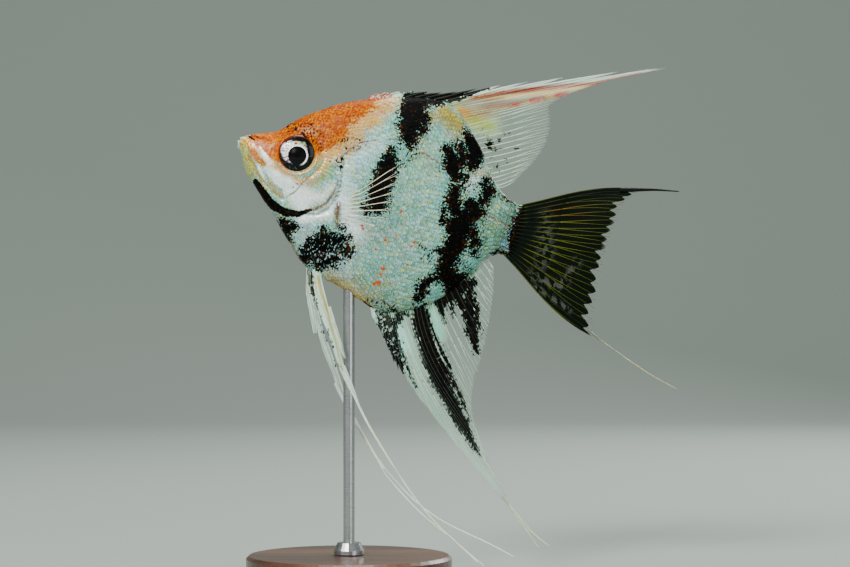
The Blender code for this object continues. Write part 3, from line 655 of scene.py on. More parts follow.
@dataclass(frozen=True)
class Relief:
    """The raised and sunken forms of the head and flank, in millimetres over the plain form."""

    socket_depth: float = 1.5
    socket_wall: Pair = (EYE_RADIUS - 1.3, EYE_RADIUS + 0.05)
    fade: float = 0.10
    wave_height: float = 0.05
    wave_size: float = 6.0
    wave_from: Pair = (2.0, 8.0)
    midline: Pair = (0.15, 1.4)
    lip: Triple = (0.30, 0.55, 0.42)
    slit: Pair = (0.55, 0.20)
    mouth_corner: Pair = (1.6, 2.8)

    def _ends(self, share: Array) -> Array:
        """Fades a line's relief out towards its two ends."""
        return smooth(0.0, self.fade, share) * smooth(0.0, self.fade, 1 - share)

    def height(self, points: Array) -> Array:
        """The relief at body places.

        Args:
            points: body millimetres on the plain form.

        Returns:
            Millimetres outwards, for each place.
        """
        x, y, z = np.moveaxis(points, -1, 0)
        to_eye = np.hypot(x - EYE_X, z - EYE_Z)
        up = -self.socket_depth * (1 - smooth(*self.socket_wall, to_eye))
        for middle_x, middle_z, tall, radius, height, width in ROUNDS:
            up += height * bell(np.hypot(x - middle_x, (z - middle_z) / tall) - radius, width)
        for track, step, reach, dip, width in PLATES:
            distance, signed, share = track.near(x, z)
            edge = np.where(signed < 0, step * np.exp(-distance / reach), -dip * bell(distance, width))
            up += edge * self._ends(share)
        for track, height, width, beside, fades in GROOVES:
            distance, _, share = track.near(x, z)
            up += height * bell(distance - beside, width) * (self._ends(share) if fades else 1.0)
        up *= smooth(*self.midline, np.abs(y))
        up += self.lips(x, z)
        up += self.wave_height * slow_waves(x, z, self.wave_size) * smooth(*self.wave_from, x)
        return up

    def lips(self, x: Array, z: Array) -> Array:
        """The two lips, each with a height, a place and a width, and the slit between them."""
        distance, _, share = LIP_SLIT.near(x, z)
        height, beside, width = self.lip
        roll = height * bell(distance - beside, width) - self.slit[0] * bell(distance, self.slit[1])
        return roll * (1 - smooth(0.75, 1.0, share)) * (1 - smooth(*self.mouth_corner, x))


RELIEF = Relief()


# ---------------------------------------------------------------- meshes


def grid_faces(rows: int, columns: int, closed: bool = False) -> Array:
    """Quads of a grid of points numbered row by row.

    Args:
        rows: rows of points.
        columns: points in a row.
        closed: whether the last column joins the first.

    Returns:
        Point numbers, (faces, 4).
    """
    i, j = np.meshgrid(np.arange(rows - 1), np.arange(columns if closed else columns - 1), indexing="ij")
    here, after = i * columns + j, i * columns + (j + 1) % columns
    return np.stack((here, after, after + columns, here + columns), -1).reshape(-1, 4)


def end_faces(rings: int, around: int) -> list[Array]:
    """The two end faces of a closed grid: the first ring's points in order, and the last's reversed."""
    ring = np.arange(around)[None, :]
    return [ring, (ring + (rings - 1) * around)[:, ::-1]]


def grid_rim(rows: int, columns: int) -> Array:
    """The points round the edge of a grid of points numbered row by row, in order."""
    grid = np.arange(rows * columns).reshape(rows, columns)
    return np.concatenate((grid[0], grid[1:, -1], grid[-1, -2::-1], grid[-2:0:-1, 0]))


def placed(name: str, data: bpy.types.ID) -> Object:
    """A new object in the scene that shows the data."""
    made = bpy.data.objects.new(name, data)
    bpy.context.scene.collection.objects.link(made)
    return made


@dataclass
class MeshMaker:
    """Gathers points in body millimetres, faces and fields, and writes them as one object."""

    name: str
    points: list[Array] = field(default_factory=list)
    faces: list[Array] = field(default_factory=list)
    fields: dict[str, list[Array]] = field(default_factory=dict)
    count: int = 0

    def add(self, points: Array, faces: Sequence[Array], **fields: Array) -> None:
        """Adds one run of points.

        Args:
            points: body millimetres, (n, 3).
            faces: arrays of point numbers within this run, each with its own count of corners.
            fields: one array per attribute, (n,) or (n, 3).
        """
        self.points.append(points)
        for block in faces:
            self.faces.append(np.asarray(block, int) + self.count)
        for key, values in fields.items():
            self.fields.setdefault(key, []).append(values)
        self.count += len(points)

    def build(self, material: Material, slot: Slot, uv: str | None = None) -> Object:
        """Writes the mesh and puts the object on the body.

        Args:
            material: the finish of the whole piece.
            slot: the record's slot that the finish belongs to; not used.
            uv: a (n, 3) field whose first two numbers become the map named OFBake.

        Returns:
            The new object.
        """
        mesh = bpy.data.meshes.new(self.name)
        points = POSE.place(np.concatenate(self.points))
        corners = np.concatenate([block.reshape(-1) for block in self.faces])
        sizes = np.concatenate([np.full(len(block), block.shape[1]) for block in self.faces])
        mesh.vertices.add(len(points))
        mesh.vertices.foreach_set("co", points.astype(np.float32).reshape(-1))
        mesh.loops.add(len(corners))
        mesh.loops.foreach_set("vertex_index", corners.astype(np.int32))
        mesh.polygons.add(len(sizes))
        mesh.polygons.foreach_set("loop_start", (np.cumsum(sizes) - sizes).astype(np.int32))
        mesh.update(calc_edges=True)
        mesh.shade_smooth()
        for key, blocks in self.fields.items():
            values = np.concatenate(blocks).astype(np.float32)
            kind, slot_name = ("FLOAT_VECTOR", "vector") if values.ndim == 2 else ("FLOAT", "value")
            layer = mesh.attributes.new(key, kind, "POINT")
            layer.data.foreach_set(slot_name, values.reshape(-1))
        if uv:
            places = np.concatenate(self.fields[uv])[corners, :2].astype(np.float32)
            mesh.uv_layers.new(name="OFBake").data.foreach_set("uv", places.reshape(-1))
        mesh.materials.append(material)
        made = placed(self.name, mesh)
        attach(made, BODY)
        return made


def tube(path: Array, radii: Array, sides: int = 6) -> tuple[Array, list[Array]]:
    """A closed round tube along a path.

    Args:
        path: the middle line, (n, 3).
        radii: the radius at each point.
        sides: sides of the tube.

    Returns:
        Its points, (n * sides, 3), and its faces.
    """
    way = unit(np.gradient(path, axis=0))
    level = unit(np.cross(way, np.array((0.0, 1.0, 0.0))))
    other = np.cross(way, level)
    turn = np.linspace(0, math.tau, sides, endpoint=False)
    ring = level[:, None] * np.cos(turn)[None, :, None] + other[:, None] * np.sin(turn)[None, :, None]
    points = path[:, None] + ring * radii[:, None, None]
    caps = [cap[:, ::-1] for cap in end_faces(len(path), sides)]
    return points.reshape(-1, 3), [grid_faces(len(path), sides, closed=True), *caps]


# ---------------------------------------------------------------- shader expressions


class Signal:
    """A socket of a material's nodes, on which arithmetic adds Math nodes."""

    def __init__(self, graph: "Graph", socket: bpy.types.NodeSocket) -> None:
        """Wraps the output socket of a graph's node."""
        self.graph = graph
        self.socket = socket

    def __add__(self, other: "Signal | float") -> "Signal":
        """Sum of two values."""
        return self.graph.math("ADD", self, other)

    def __sub__(self, other: "Signal | float") -> "Signal":
        """Difference of two values."""
        return self.graph.math("SUBTRACT", self, other)

    def __rsub__(self, other: float) -> "Signal":
        """A number less the value."""
        return self.graph.math("SUBTRACT", other, self)

    def __mul__(self, other: "Signal | float") -> "Signal":
        """Product of two values."""
        return self.graph.math("MULTIPLY", self, other)

    __radd__ = __add__
    __rmul__ = __mul__

    def smooth(self, low: float, high: float) -> "Signal":
        """A smooth step from 0 at low to 1 at high."""
        inputs = {"Value": self, "From Min": low, "From Max": high}
        return self.graph.node("ShaderNodeMapRange", {"interpolation_type": "SMOOTHSTEP"}, inputs)

    def at_least(self, other: "Signal | float") -> "Signal":
        """The greater of two values."""
        return self.graph.math("MAXIMUM", self, other)

    def at_most(self, other: "Signal | float") -> "Signal":
        """The lesser of two values."""
        return self.graph.math("MINIMUM", self, other)


class Graph:
    """A material and its nodes, which expressions build."""

    def __init__(self, name: str) -> None:
        """Starts a material that has only its output node."""
        self.material = bpy.data.materials.new(name)
        self.material.use_nodes = True
        self.tree = self.material.node_tree
        self.tree.nodes.clear()

    def node(self, kind: str, settings: dict[str, object], inputs: dict[str | int, object],
             output: str | int = 0) -> Signal:
        """Adds a node.

        Args:
            kind: the node's type.
            settings: attributes that are set first.
            inputs: a value or a Signal for each input, by name or number.
            output: the output to hand back, by name or number.

        Returns:
            The output as a Signal.
        """
        made = self.tree.nodes.new(kind)
        for key, value in settings.items():
            setattr(made, key, value)
        for key, value in inputs.items():
            if isinstance(value, Signal):
                self.tree.links.new(value.socket, made.inputs[key])
            else:
                made.inputs[key].default_value = value
        return Signal(self, made.outputs[output]) if made.outputs else Signal(self, None)

    def math(self, operation: str, *values: "Signal | float") -> Signal:
        """A Math node on one to three values."""
        return self.node("ShaderNodeMath", {"operation": operation}, dict(enumerate(values)))

    def mix(self, factor: "Signal | float", low: "Signal | Colour", high: "Signal | Colour") -> Signal:
        """Mixes two colours by a factor."""
        wide = [c if isinstance(c, Signal) else (*c, 1.0) for c in (low, high)]
        settings = {"data_type": "RGBA", "clamp_factor": True}
        return self.node("ShaderNodeMix", settings, {0: factor, 6: wide[0], 7: wide[1]}, 2)

    def vector(self, operation: str, *values: "Signal | Triple") -> Signal:
        """A Vector Math node that gives a vector."""
        return self.node("ShaderNodeVectorMath", {"operation": operation}, dict(enumerate(values)))

    def part(self, vector: Signal, axis: str) -> Signal:
        """One of the numbers X, Y or Z of a vector."""
        return self.node("ShaderNodeSeparateXYZ", {}, {0: vector}, axis)

    def field(self, name: str, output: str = "Fac") -> Signal:
        """A mesh attribute, as Fac, Color or Vector."""
        return self.node("ShaderNodeAttribute", {"attribute_name": name}, {}, output)

    def noise(self, place: Signal, scale: float, detail: float = 2.0, rough: float = 0.5,
              stretch: Triple | None = None) -> Signal:
        """Cloudy noise around 0.5, at places that may first be multiplied along their three axes."""
        if stretch:
            place = self.vector("MULTIPLY", place, stretch)
        inputs = {"Vector": place, "Scale": scale, "Detail": detail, "Roughness": rough}
        return self.node("ShaderNodeTexNoise", {}, inputs, "Fac")

    def bump(self, height: Signal, depth: float, strength: float) -> Signal:
        """A Bump node; depth is the height of a full step in metres."""
        inputs = {"Height": height, "Distance": depth, "Strength": strength}
        return self.node("ShaderNodeBump", {}, inputs, "Normal")

    def finish(self, surface: dict[str | int, object]) -> Material:
        """Ends the graph in a Principled shader.

        Args:
            surface: a value or Signal for each input of the shader.

        Returns:
            The finished material.
        """
        shader = self.node("ShaderNodeBsdfPrincipled", {}, surface)
        self.node("ShaderNodeOutputMaterial", {}, {"Surface": shader})
        return self.material


# ---------------------------------------------------------------- finishes


@dataclass(frozen=True)
class FishSkin:
    """The coloured skin, for the bare skin and for its scales."""

    name: str
    scaled: bool
    roughness: float = 0.36
    coat: float = 0.55

    def silver(self, graph: Graph, body: Signal, tint: Signal) -> Signal:
        """The pale ground: fine grey dashes, white dashes of painted glint, painted shade at each scale's
        root and yellow flecks.
        """
        tone = graph.field("tone", "Color")
        calm = graph.part(tone, "X").smooth(0.45, 0.9)
        dashes = graph.noise(body, 2.3, 3.0, 0.65, stretch=(1.5, 1.0, 0.8))
        patches = graph.noise(body, 0.26, 2.0)
        fleck = graph.noise(body, 1.5, 3.0, 0.7)
        dim = (1 - dashes - tint * 0.12 + patches * 0.2).smooth(0.44, 0.62) * (0.74 - calm * 0.5)
        colour = graph.mix(dim, tone, graph.mix(0.8, tone, DEEP_GREY))
        # Painted highlight: bright cyan-white specks for the glints of the silver scales.
        glint = (dashes + tint * 0.12 - 0.06 + (patches - 0.5) * 0.3).smooth(0.50, 0.68) * 0.85
        plain = graph.part(tone, "Z").smooth(0.02, 0.3)
        glint = glint * (plain * 0.8 + 0.2)
        colour = graph.mix(glint, colour, graph.mix(0.66, tone, GLINT))
        lilac = (1 - fleck + (tint - 0.5) * 0.1).smooth(0.54, 0.62) * (1 - calm * 0.5) * plain * 0.6
        colour = graph.mix(lilac, colour, paint(142, 178, 216))
        warm = fleck.smooth(0.53, 0.60) * (tint * 0.5 + patches - 0.2).smooth(0.40, 0.62)
        colour = graph.mix(warm * (0.8 - calm * 0.4), colour, CREAM)
        # Painted shade: each scale is darkened near its root, where the scale before overlaps it.
        gap = (1 - graph.field("lap")).smooth(0.40, 0.72)
        return graph.mix(gap * (0.6 - calm * 0.4), colour, graph.mix(0.5, tone, DEEP_GREY))

    def cap(self, graph: Graph, body: Signal, tint: Signal) -> Signal:
        """The mottled orange of the head and nape, redder towards the nape, with painted shade at each
        scale's root.
        """
        blots = graph.noise(body, 0.6, 3.0, 0.65)
        fine = graph.noise(body, 1.9, 2.0, stretch=(1.3, 1.0, 0.8))
        heat = graph.field("heat")
        red = (blots * 1.1 + heat * 0.22 - 0.28 + (tint - 0.5) * 0.26).smooth(0.42, 0.60)
        ground = graph.mix(red * 0.85, ORANGE, DEEP_ORANGE)
        ground = graph.mix((1 - heat) * 0.75, ground, paint(160, 72, 0))
        pale = (fine + tint * 0.16 - 0.08 - (blots - 0.5) * 0.8).smooth(0.50, 0.60)
        ground = graph.mix(pale * (heat * 0.5 + 0.35), ground, YELLOW)
        rust = (1 - fine + (0.5 - tint) * 0.1).smooth(0.58, 0.68)
        ground = graph.mix(rust * 0.6, ground, paint(110, 16, 0))
        # Painted shade: the cap is darkened near each scale's root, where the scale before overlaps it.
        gap = (1 - graph.field("lap")).smooth(0.40, 0.72)
        return graph.mix(gap * 0.5, ground, paint(110, 18, 0))

    def build(self) -> Material:
        """The finished material."""
        graph = Graph(self.name)
        body = graph.field("body", "Vector")
        tint = graph.field("tint")
        rim = graph.field("rim")
        coarse = (graph.noise(body, 0.42, 3.0, 0.6) - 0.5) * 4.6
        speckle = (graph.noise(body, 2.1, 2.0, 0.6) - 0.5) * 7.0
        ragged = coarse * 0.7 + speckle + (tint - 0.5) * 0.8
        colour = self.silver(graph, body, tint)
        cap = graph.field("cap")
        edge = (cap + ragged * (0.9 if self.scaled else 0.3) + (tint - 0.5) * 1.4).smooth(-0.4, 0.4)
        fringe = (cap + coarse + (5.8 if self.scaled else 2.2)).smooth(-0.8, 3.6)
        flecks = graph.noise(body, 1.5, 3.0, 0.6)
        colour = graph.mix(fringe * flecks.smooth(0.42, 0.54) * 0.9, colour, paint(206, 150, 0))
        colour = graph.mix(fringe * (1 - flecks).smooth(0.50, 0.58) * 0.8, colour, paint(196, 92, 0))
        colour = graph.mix(edge, colour, self.cap(graph, body, tint))
        specks = (graph.field("speck") + (graph.noise(body, 2.6, 2.0) - 0.5) * 0.9).smooth(-0.12, 0.1)
        colour = graph.mix(specks, colour, ORANGE)
        seam = (graph.field("seam") + 0.22 + (graph.noise(body, 1.2, 2.0) - 0.5) * 1.3).smooth(-0.1, 0.14)
        colour = graph.mix(seam * 0.7, colour, ROSE_BROWN)
        # Painted highlight: the free rim of each scale is lightened towards white.
        rim_highlight = (rim - 0.62).smooth(0.0, 0.3)
        colour = graph.mix(rim_highlight * (1 - edge) * 0.45, colour, graph.mix(0.7, colour, WHITE))
        patches = (graph.field("ink") + ragged).smooth(-0.16, 0.16)
        lines = (graph.field("line") + (graph.noise(body, 2.2, 2.0) - 0.5) * 0.9).smooth(-0.08, 0.08)
        spots = graph.noise(body, 1.9, 2.0, stretch=(1.2, 1.0, 0.8)).smooth(0.54, 0.58)
        spots = spots * (graph.field("fleck") + coarse * 0.4).smooth(-0.5, 0.6)
        ink = patches.at_least(lines).at_least(spots)
        frost = graph.noise(body, 1.5, 2.0, stretch=(1.5, 1.0, 0.7)).smooth(0.58, 0.64)
        ink = ink * (1 - frost * graph.field("frost").smooth(-1.0, 1.0) * (tint * 0.6 + 0.6).at_most(1.0))
        ember = graph.noise(body, 0.9, 3.0).smooth(0.52, 0.66)
        ember = ember * (1.6 - graph.field("ink")).smooth(-0.4, 1.4)
        ember = ember.at_least(graph.noise(body, 1.4, 3.0).smooth(0.58, 0.7) * 0.5)
        brown = graph.mix(ember * (0.9 if self.scaled else 0.3), INK, INK_BROWN)
        colour = graph.mix(ink, colour, brown)
        surface: dict[str | int, object] = {
            "Base Color": colour,
            "Roughness": graph.noise(body, 1.4, 2.0) * 0.16 + (self.roughness - 0.08) + ink * 0.12,
            "Metallic": (1 - ink) * (1 - edge) * 0.12,
            "Specular IOR Level": 0.05,
            "Coat Weight": (1 - ink) * (1 - edge * 0.85) * self.coat,
            "Coat Roughness": 0.14,
        }
        grain = graph.noise(body, 3.2, 3.0, 0.6)
        surface["Normal"] = graph.bump(grain, 0.00006 if self.scaled else 0.00010, 0.6)
        return graph.finish(surface)


@dataclass(frozen=True)
class FinWeb:
    """The thin web of a fin between its rays, clear in places."""

    name: str
    clearest: float = 0.012
    roughness: float = 0.4

    def build(self) -> Material:
        """The finished material."""
        graph = Graph(self.name)
        fan = graph.field("fan", "Vector")
        body = graph.field("body", "Vector")
        streaks = graph.noise(fan, 1.0, 3.0, 0.6, stretch=(2.2, 2.6, 1.0))
        threads = graph.noise(fan, 1.0, 2.0, 0.5, stretch=(5.0, 3.0, 1.0))
        dots = graph.noise(body, 1.5, 2.0, stretch=(1.0, 1.0, 0.8))
        ragged = (streaks - 0.5) * 3.6 + (threads - 0.5) * 2.4 + (dots - 0.5) * 3.0
        ink = (graph.field("ink") + ragged).smooth(-0.2, 0.2)
        ink = ink.at_least(dots.smooth(0.60, 0.64) * graph.field("dots"))
        ink = ink * (1 - dots.smooth(0.55, 0.60) * graph.field("frost"))
        tone = graph.field("tone", "Color")
        colour = graph.mix(streaks.smooth(0.42, 0.7) * graph.field("milk"), tone, WHITE)
        warm = graph.field("warm")
        colour = graph.mix(warm * threads.smooth(0.45, 0.56), colour, ORANGE)
        colour = graph.mix(warm * streaks.smooth(0.50, 0.60), colour, paint(126, 14, 0))
        dark = graph.mix(graph.noise(body, 1.1, 3.0).smooth(0.5, 0.7) * 0.2, INK, INK_BROWN)
        colour = graph.mix(ink, colour, dark)
        clear = graph.field("clear")
        holes = graph.noise(fan, 1.0, 2.0, stretch=(1.4, 16.0, 1.0)).smooth(0.47, 0.54)
        holes = holes * graph.field("holes")
        alpha = (1 - clear * (1 - self.clearest) * (0.93 + streaks * 0.12).at_most(1.0)) * (1 - holes * 0.8)
        return graph.finish({
            "Base Color": colour,
            "Roughness": threads * 0.2 + (self.roughness - 0.1),
            "Alpha": alpha.at_least(ink * 0.97),
            "Specular IOR Level": 0.08,
            "Coat Weight": 0.04,
            "Coat Roughness": 0.2,
            "Normal": graph.bump(threads, 0.00008, 0.5),
        })


@dataclass(frozen=True)
class FinRay:
    """The raised rays and spines of a fin."""

    name: str

    def build(self) -> Material:
        """The finished material."""
        graph = Graph(self.name)
        fan = graph.field("fan", "Vector")
        body = graph.field("body", "Vector")
        joints = graph.noise(fan, 1.0, 1.0, stretch=(0.6, 60.0, 1.0))
        streaks = graph.noise(fan, 1.0, 2.0, stretch=(1.3, 6.0, 1.0))
        dots = graph.noise(body, 1.5, 2.0, stretch=(1.0, 1.0, 0.8))
        ink = (graph.field("ink") + (streaks - 0.5) * 3.6 + (dots - 0.5) * 3.0).smooth(-0.2, 0.2)
        ink = ink * (1 - dots.smooth(0.55, 0.60) * graph.field("frost"))
        tone = graph.field("ray_tone", "Color")
        colour = graph.mix(joints.smooth(0.35, 0.7) * graph.field("milk"), tone, WHITE)
        lanes = graph.noise(fan, 1.0, 1.0, stretch=(3.7, 1.2, 1.0))
        colour = graph.mix(lanes.smooth(0.44, 0.56) * 0.8, colour, graph.mix(0.4, tone, INK))
        colour = graph.mix((1 - lanes).smooth(0.50, 0.58) * graph.field("milk") * 0.6, colour, CREAM)
        warm = graph.field("warm")
        colour = graph.mix(warm * streaks.smooth(0.46, 0.56), colour, ORANGE)
        colour = graph.mix(warm * (1 - streaks).smooth(0.50, 0.58), colour, paint(126, 14, 0))
        colour = graph.mix(ink * 0.96, colour, INK)
        return graph.finish({
            "Base Color": colour,
            "Roughness": joints * 0.2 + 0.3,
            "Specular IOR Level": 0.2,
            "Normal": graph.bump(graph.noise(body, 4.0, 2.0), 0.00005, 0.4),
        })


@dataclass(frozen=True)
class EyeBall:
    """The glossy eye: black pupil, bright ring, silver iris, dark outer band and a thin red rim."""

    name: str = "eye_gloss"

    def build(self) -> Material:
        """The finished material."""
        graph = Graph(self.name)
        body = graph.field("body", "Vector")
        outer = graph.field("from_eye")
        iris = graph.field("from_iris")
        pupil = graph.field("from_pupil")
        foot = graph.field("foot")
        grain = graph.noise(body, 1.6, 3.0, 0.6)
        fine = graph.noise(body, 4.5, 2.0)
        silver = graph.mix((grain * 0.7 + fine * 0.4).smooth(0.49, 0.58), paint(44, 58, 66), WHITE)
        crown = graph.field("crown") * (grain.smooth(0.4, 0.55) * 0.6 + 0.25)
        silver = graph.mix(crown, silver, paint(160, 160, 30))
        silver = graph.mix(graph.noise(body, 1.5, 1.0).smooth(0.63, 0.66), silver, RED)
        silver = graph.mix(graph.noise(body, 2.0, stretch=(1.3, 1.0, 1.0)).smooth(0.66, 0.7), silver,
                           paint(70, 130, 230))
        glints = (fine + (grain - 0.5) * 0.5).smooth(0.62, 0.74) * 0.6
        band = graph.mix(glints, paint(1, 2, 3), paint(110, 124, 132))
        colour = graph.mix((iris + (grain - 0.5) * 1.5 + (fine - 0.5) * 0.9).smooth(3.35, 3.65), silver, band)
        ring = (1 - (pupil + (grain - 0.5) * 0.3).smooth(2.76, 2.92)) * (1 - foot)
        colour = graph.mix(ring, colour, WHITE)
        colour = graph.mix(1 - pupil.smooth(2.38, 2.46), colour, paint(1, 2, 2))
        rim = (outer + (fine - 0.5) * 0.3).smooth(4.56, 4.72)
        colour = graph.mix(rim, colour, graph.mix(graph.field("blush"), paint(96, 30, 6), paint(190, 30, 4)))
        return graph.finish({
            "Base Color": colour,
            "Roughness": 0.3,
            "Specular IOR Level": 0.06,
            "Metallic": (1 - iris.smooth(3.4, 3.8)) * pupil.smooth(2.36, 2.46) * 0.2,
            "Coat Weight": 0.35,
            "Coat Roughness": 0.03,
            "Normal": graph.bump(grain, 0.00005, 0.4),
        })


@dataclass(frozen=True)
class StandWood:
    """Dark oiled wood with a fine straight grain."""

    name: str = Slot.WOOD.value

    def build(self) -> Material:
        """The finished material."""
        graph = Graph(self.name)
        place = graph.node("ShaderNodeTexCoord", {}, {}, "Object")
        rings = graph.noise(place, 1.0, 4.0, 0.6, stretch=(60.0, 900.0, 700.0))
        bands = graph.noise(place, 1.0, 3.0, 0.5, stretch=(14.0, 130.0, 120.0))
        pores = graph.noise(place, 1.0, 2.0, stretch=(260.0, 4200.0, 3000.0))
        colour = graph.mix(bands.smooth(0.3, 0.7), paint(52, 30, 20), paint(98, 60, 38))
        colour = graph.mix(rings.smooth(0.45, 0.7) * 0.6, colour, paint(34, 19, 13))
        colour = graph.mix(pores.smooth(0.62, 0.72) * 0.7, colour, paint(20, 11, 8))
        return graph.finish({
            "Base Color": colour,
            "Roughness": rings * 0.18 + 0.30,
            "Coat Weight": 0.35,
            "Coat Roughness": 0.18,
            "Normal": graph.bump(rings - pores * 0.5, 0.00012, 0.5),
        })


@dataclass(frozen=True)
class StandSteel:
    """Brushed stainless steel, brushed round the rod."""

    name: str = Slot.STEEL.value

    def build(self) -> Material:
        """The finished material."""
        graph = Graph(self.name)
        place = graph.node("ShaderNodeTexCoord", {}, {}, "Object")
        brush = graph.noise(place, 1.0, 3.0, 0.6, stretch=(300.0, 300.0, 9000.0))
        smudge = graph.noise(place, 1.0, 2.0, stretch=(90.0, 90.0, 60.0))
        colour = graph.mix(brush, paint(150, 152, 154), paint(205, 207, 208))
        return graph.finish({
            "Base Color": colour,
            "Metallic": 1.0,
            "Roughness": brush * 0.16 + smudge * 0.12 + 0.16,
            "Normal": graph.bump(brush, 0.00003, 0.5),
        })


@dataclass(frozen=True)
class Backdrop:
    """The pale matt sweep under and behind the model."""

    name: str = "backdrop"
    colour: Colour = paint(132, 142, 135)

    def build(self) -> Material:
        """The finished material."""
        graph = Graph(self.name)
        return graph.finish({"Base Color": (*self.colour, 1.0), "Roughness": 0.9})


# ---------------------------------------------------------------- skin, scales and eyes


@dataclass
class Skin:
    """One unbroken skin over head, trunk and tail stalk, a little inside the form of the solids."""

    inset: float = 0.20
    head_rings: int = 170
    body_rings: int = 150
    steps: int = 132
    head_end: float = 32.0
    flesh: tuple[str, ...] = (
        "head", "lower_jaw", "gill_cover_left", "gill_cover_right", "trunk", "tail_stalk",
    )

    def shares(self) -> Array:
        """Shares along the body of the rings, closest on the head."""
        lengths = np.concatenate((
            np.linspace(0.0, self.head_end, self.head_rings, endpoint=False),
            np.linspace(self.head_end, FORM.lengths[-1], self.body_rings),
        ))
        return FORM.share_at(lengths)

    def build(self, material: Material) -> Object:
        """Lofts the skin, adds the relief and closes both ends.

        Args:
            material: the finish.

        Returns:
            The skin object, which stands for the solids of flesh.
        """
        share = self.shares()[:, None]
        down = np.concatenate((np.linspace(0, 1, self.steps + 1), np.linspace(1, 0, self.steps + 1)[1:-1]))
        side = np.concatenate((np.full(self.steps + 1, -1.0), np.full(self.steps - 1, 1.0)))
        share, down, side = np.broadcast_arrays(share, down[None], side[None])
        plain = FORM.point(share, down, side)
        lift = RELIEF.height(plain) - self.inset
        points = (plain + FORM.normal(share, down, side) * lift[..., None]).reshape(-1, 3)
        rings, around = share.shape
        faces = [grid_faces(rings, around, closed=True)[:, ::-1], *end_faces(rings, around)]
        whole = np.ones(len(points))
        maker = MeshMaker("skin")
        # The bare skin has rim 0 and lap 1, so it gets neither painted rim highlight nor painted root shade.
        maker.add(points, faces, tint=0.5 * whole, rim=0 * whole, lap=whole,
                  **MARKINGS.fields(plain.reshape(-1, 3)))
        made = maker.build(material, Slot.SKIN)
        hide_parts(*self.flesh)
        return made


FACE_EDGE = Track((
    (7.5, 20), (9, 6), (10, 1.5), (14, -3.4), (19, -5.8), (21.5, -10), (22, -30),
))


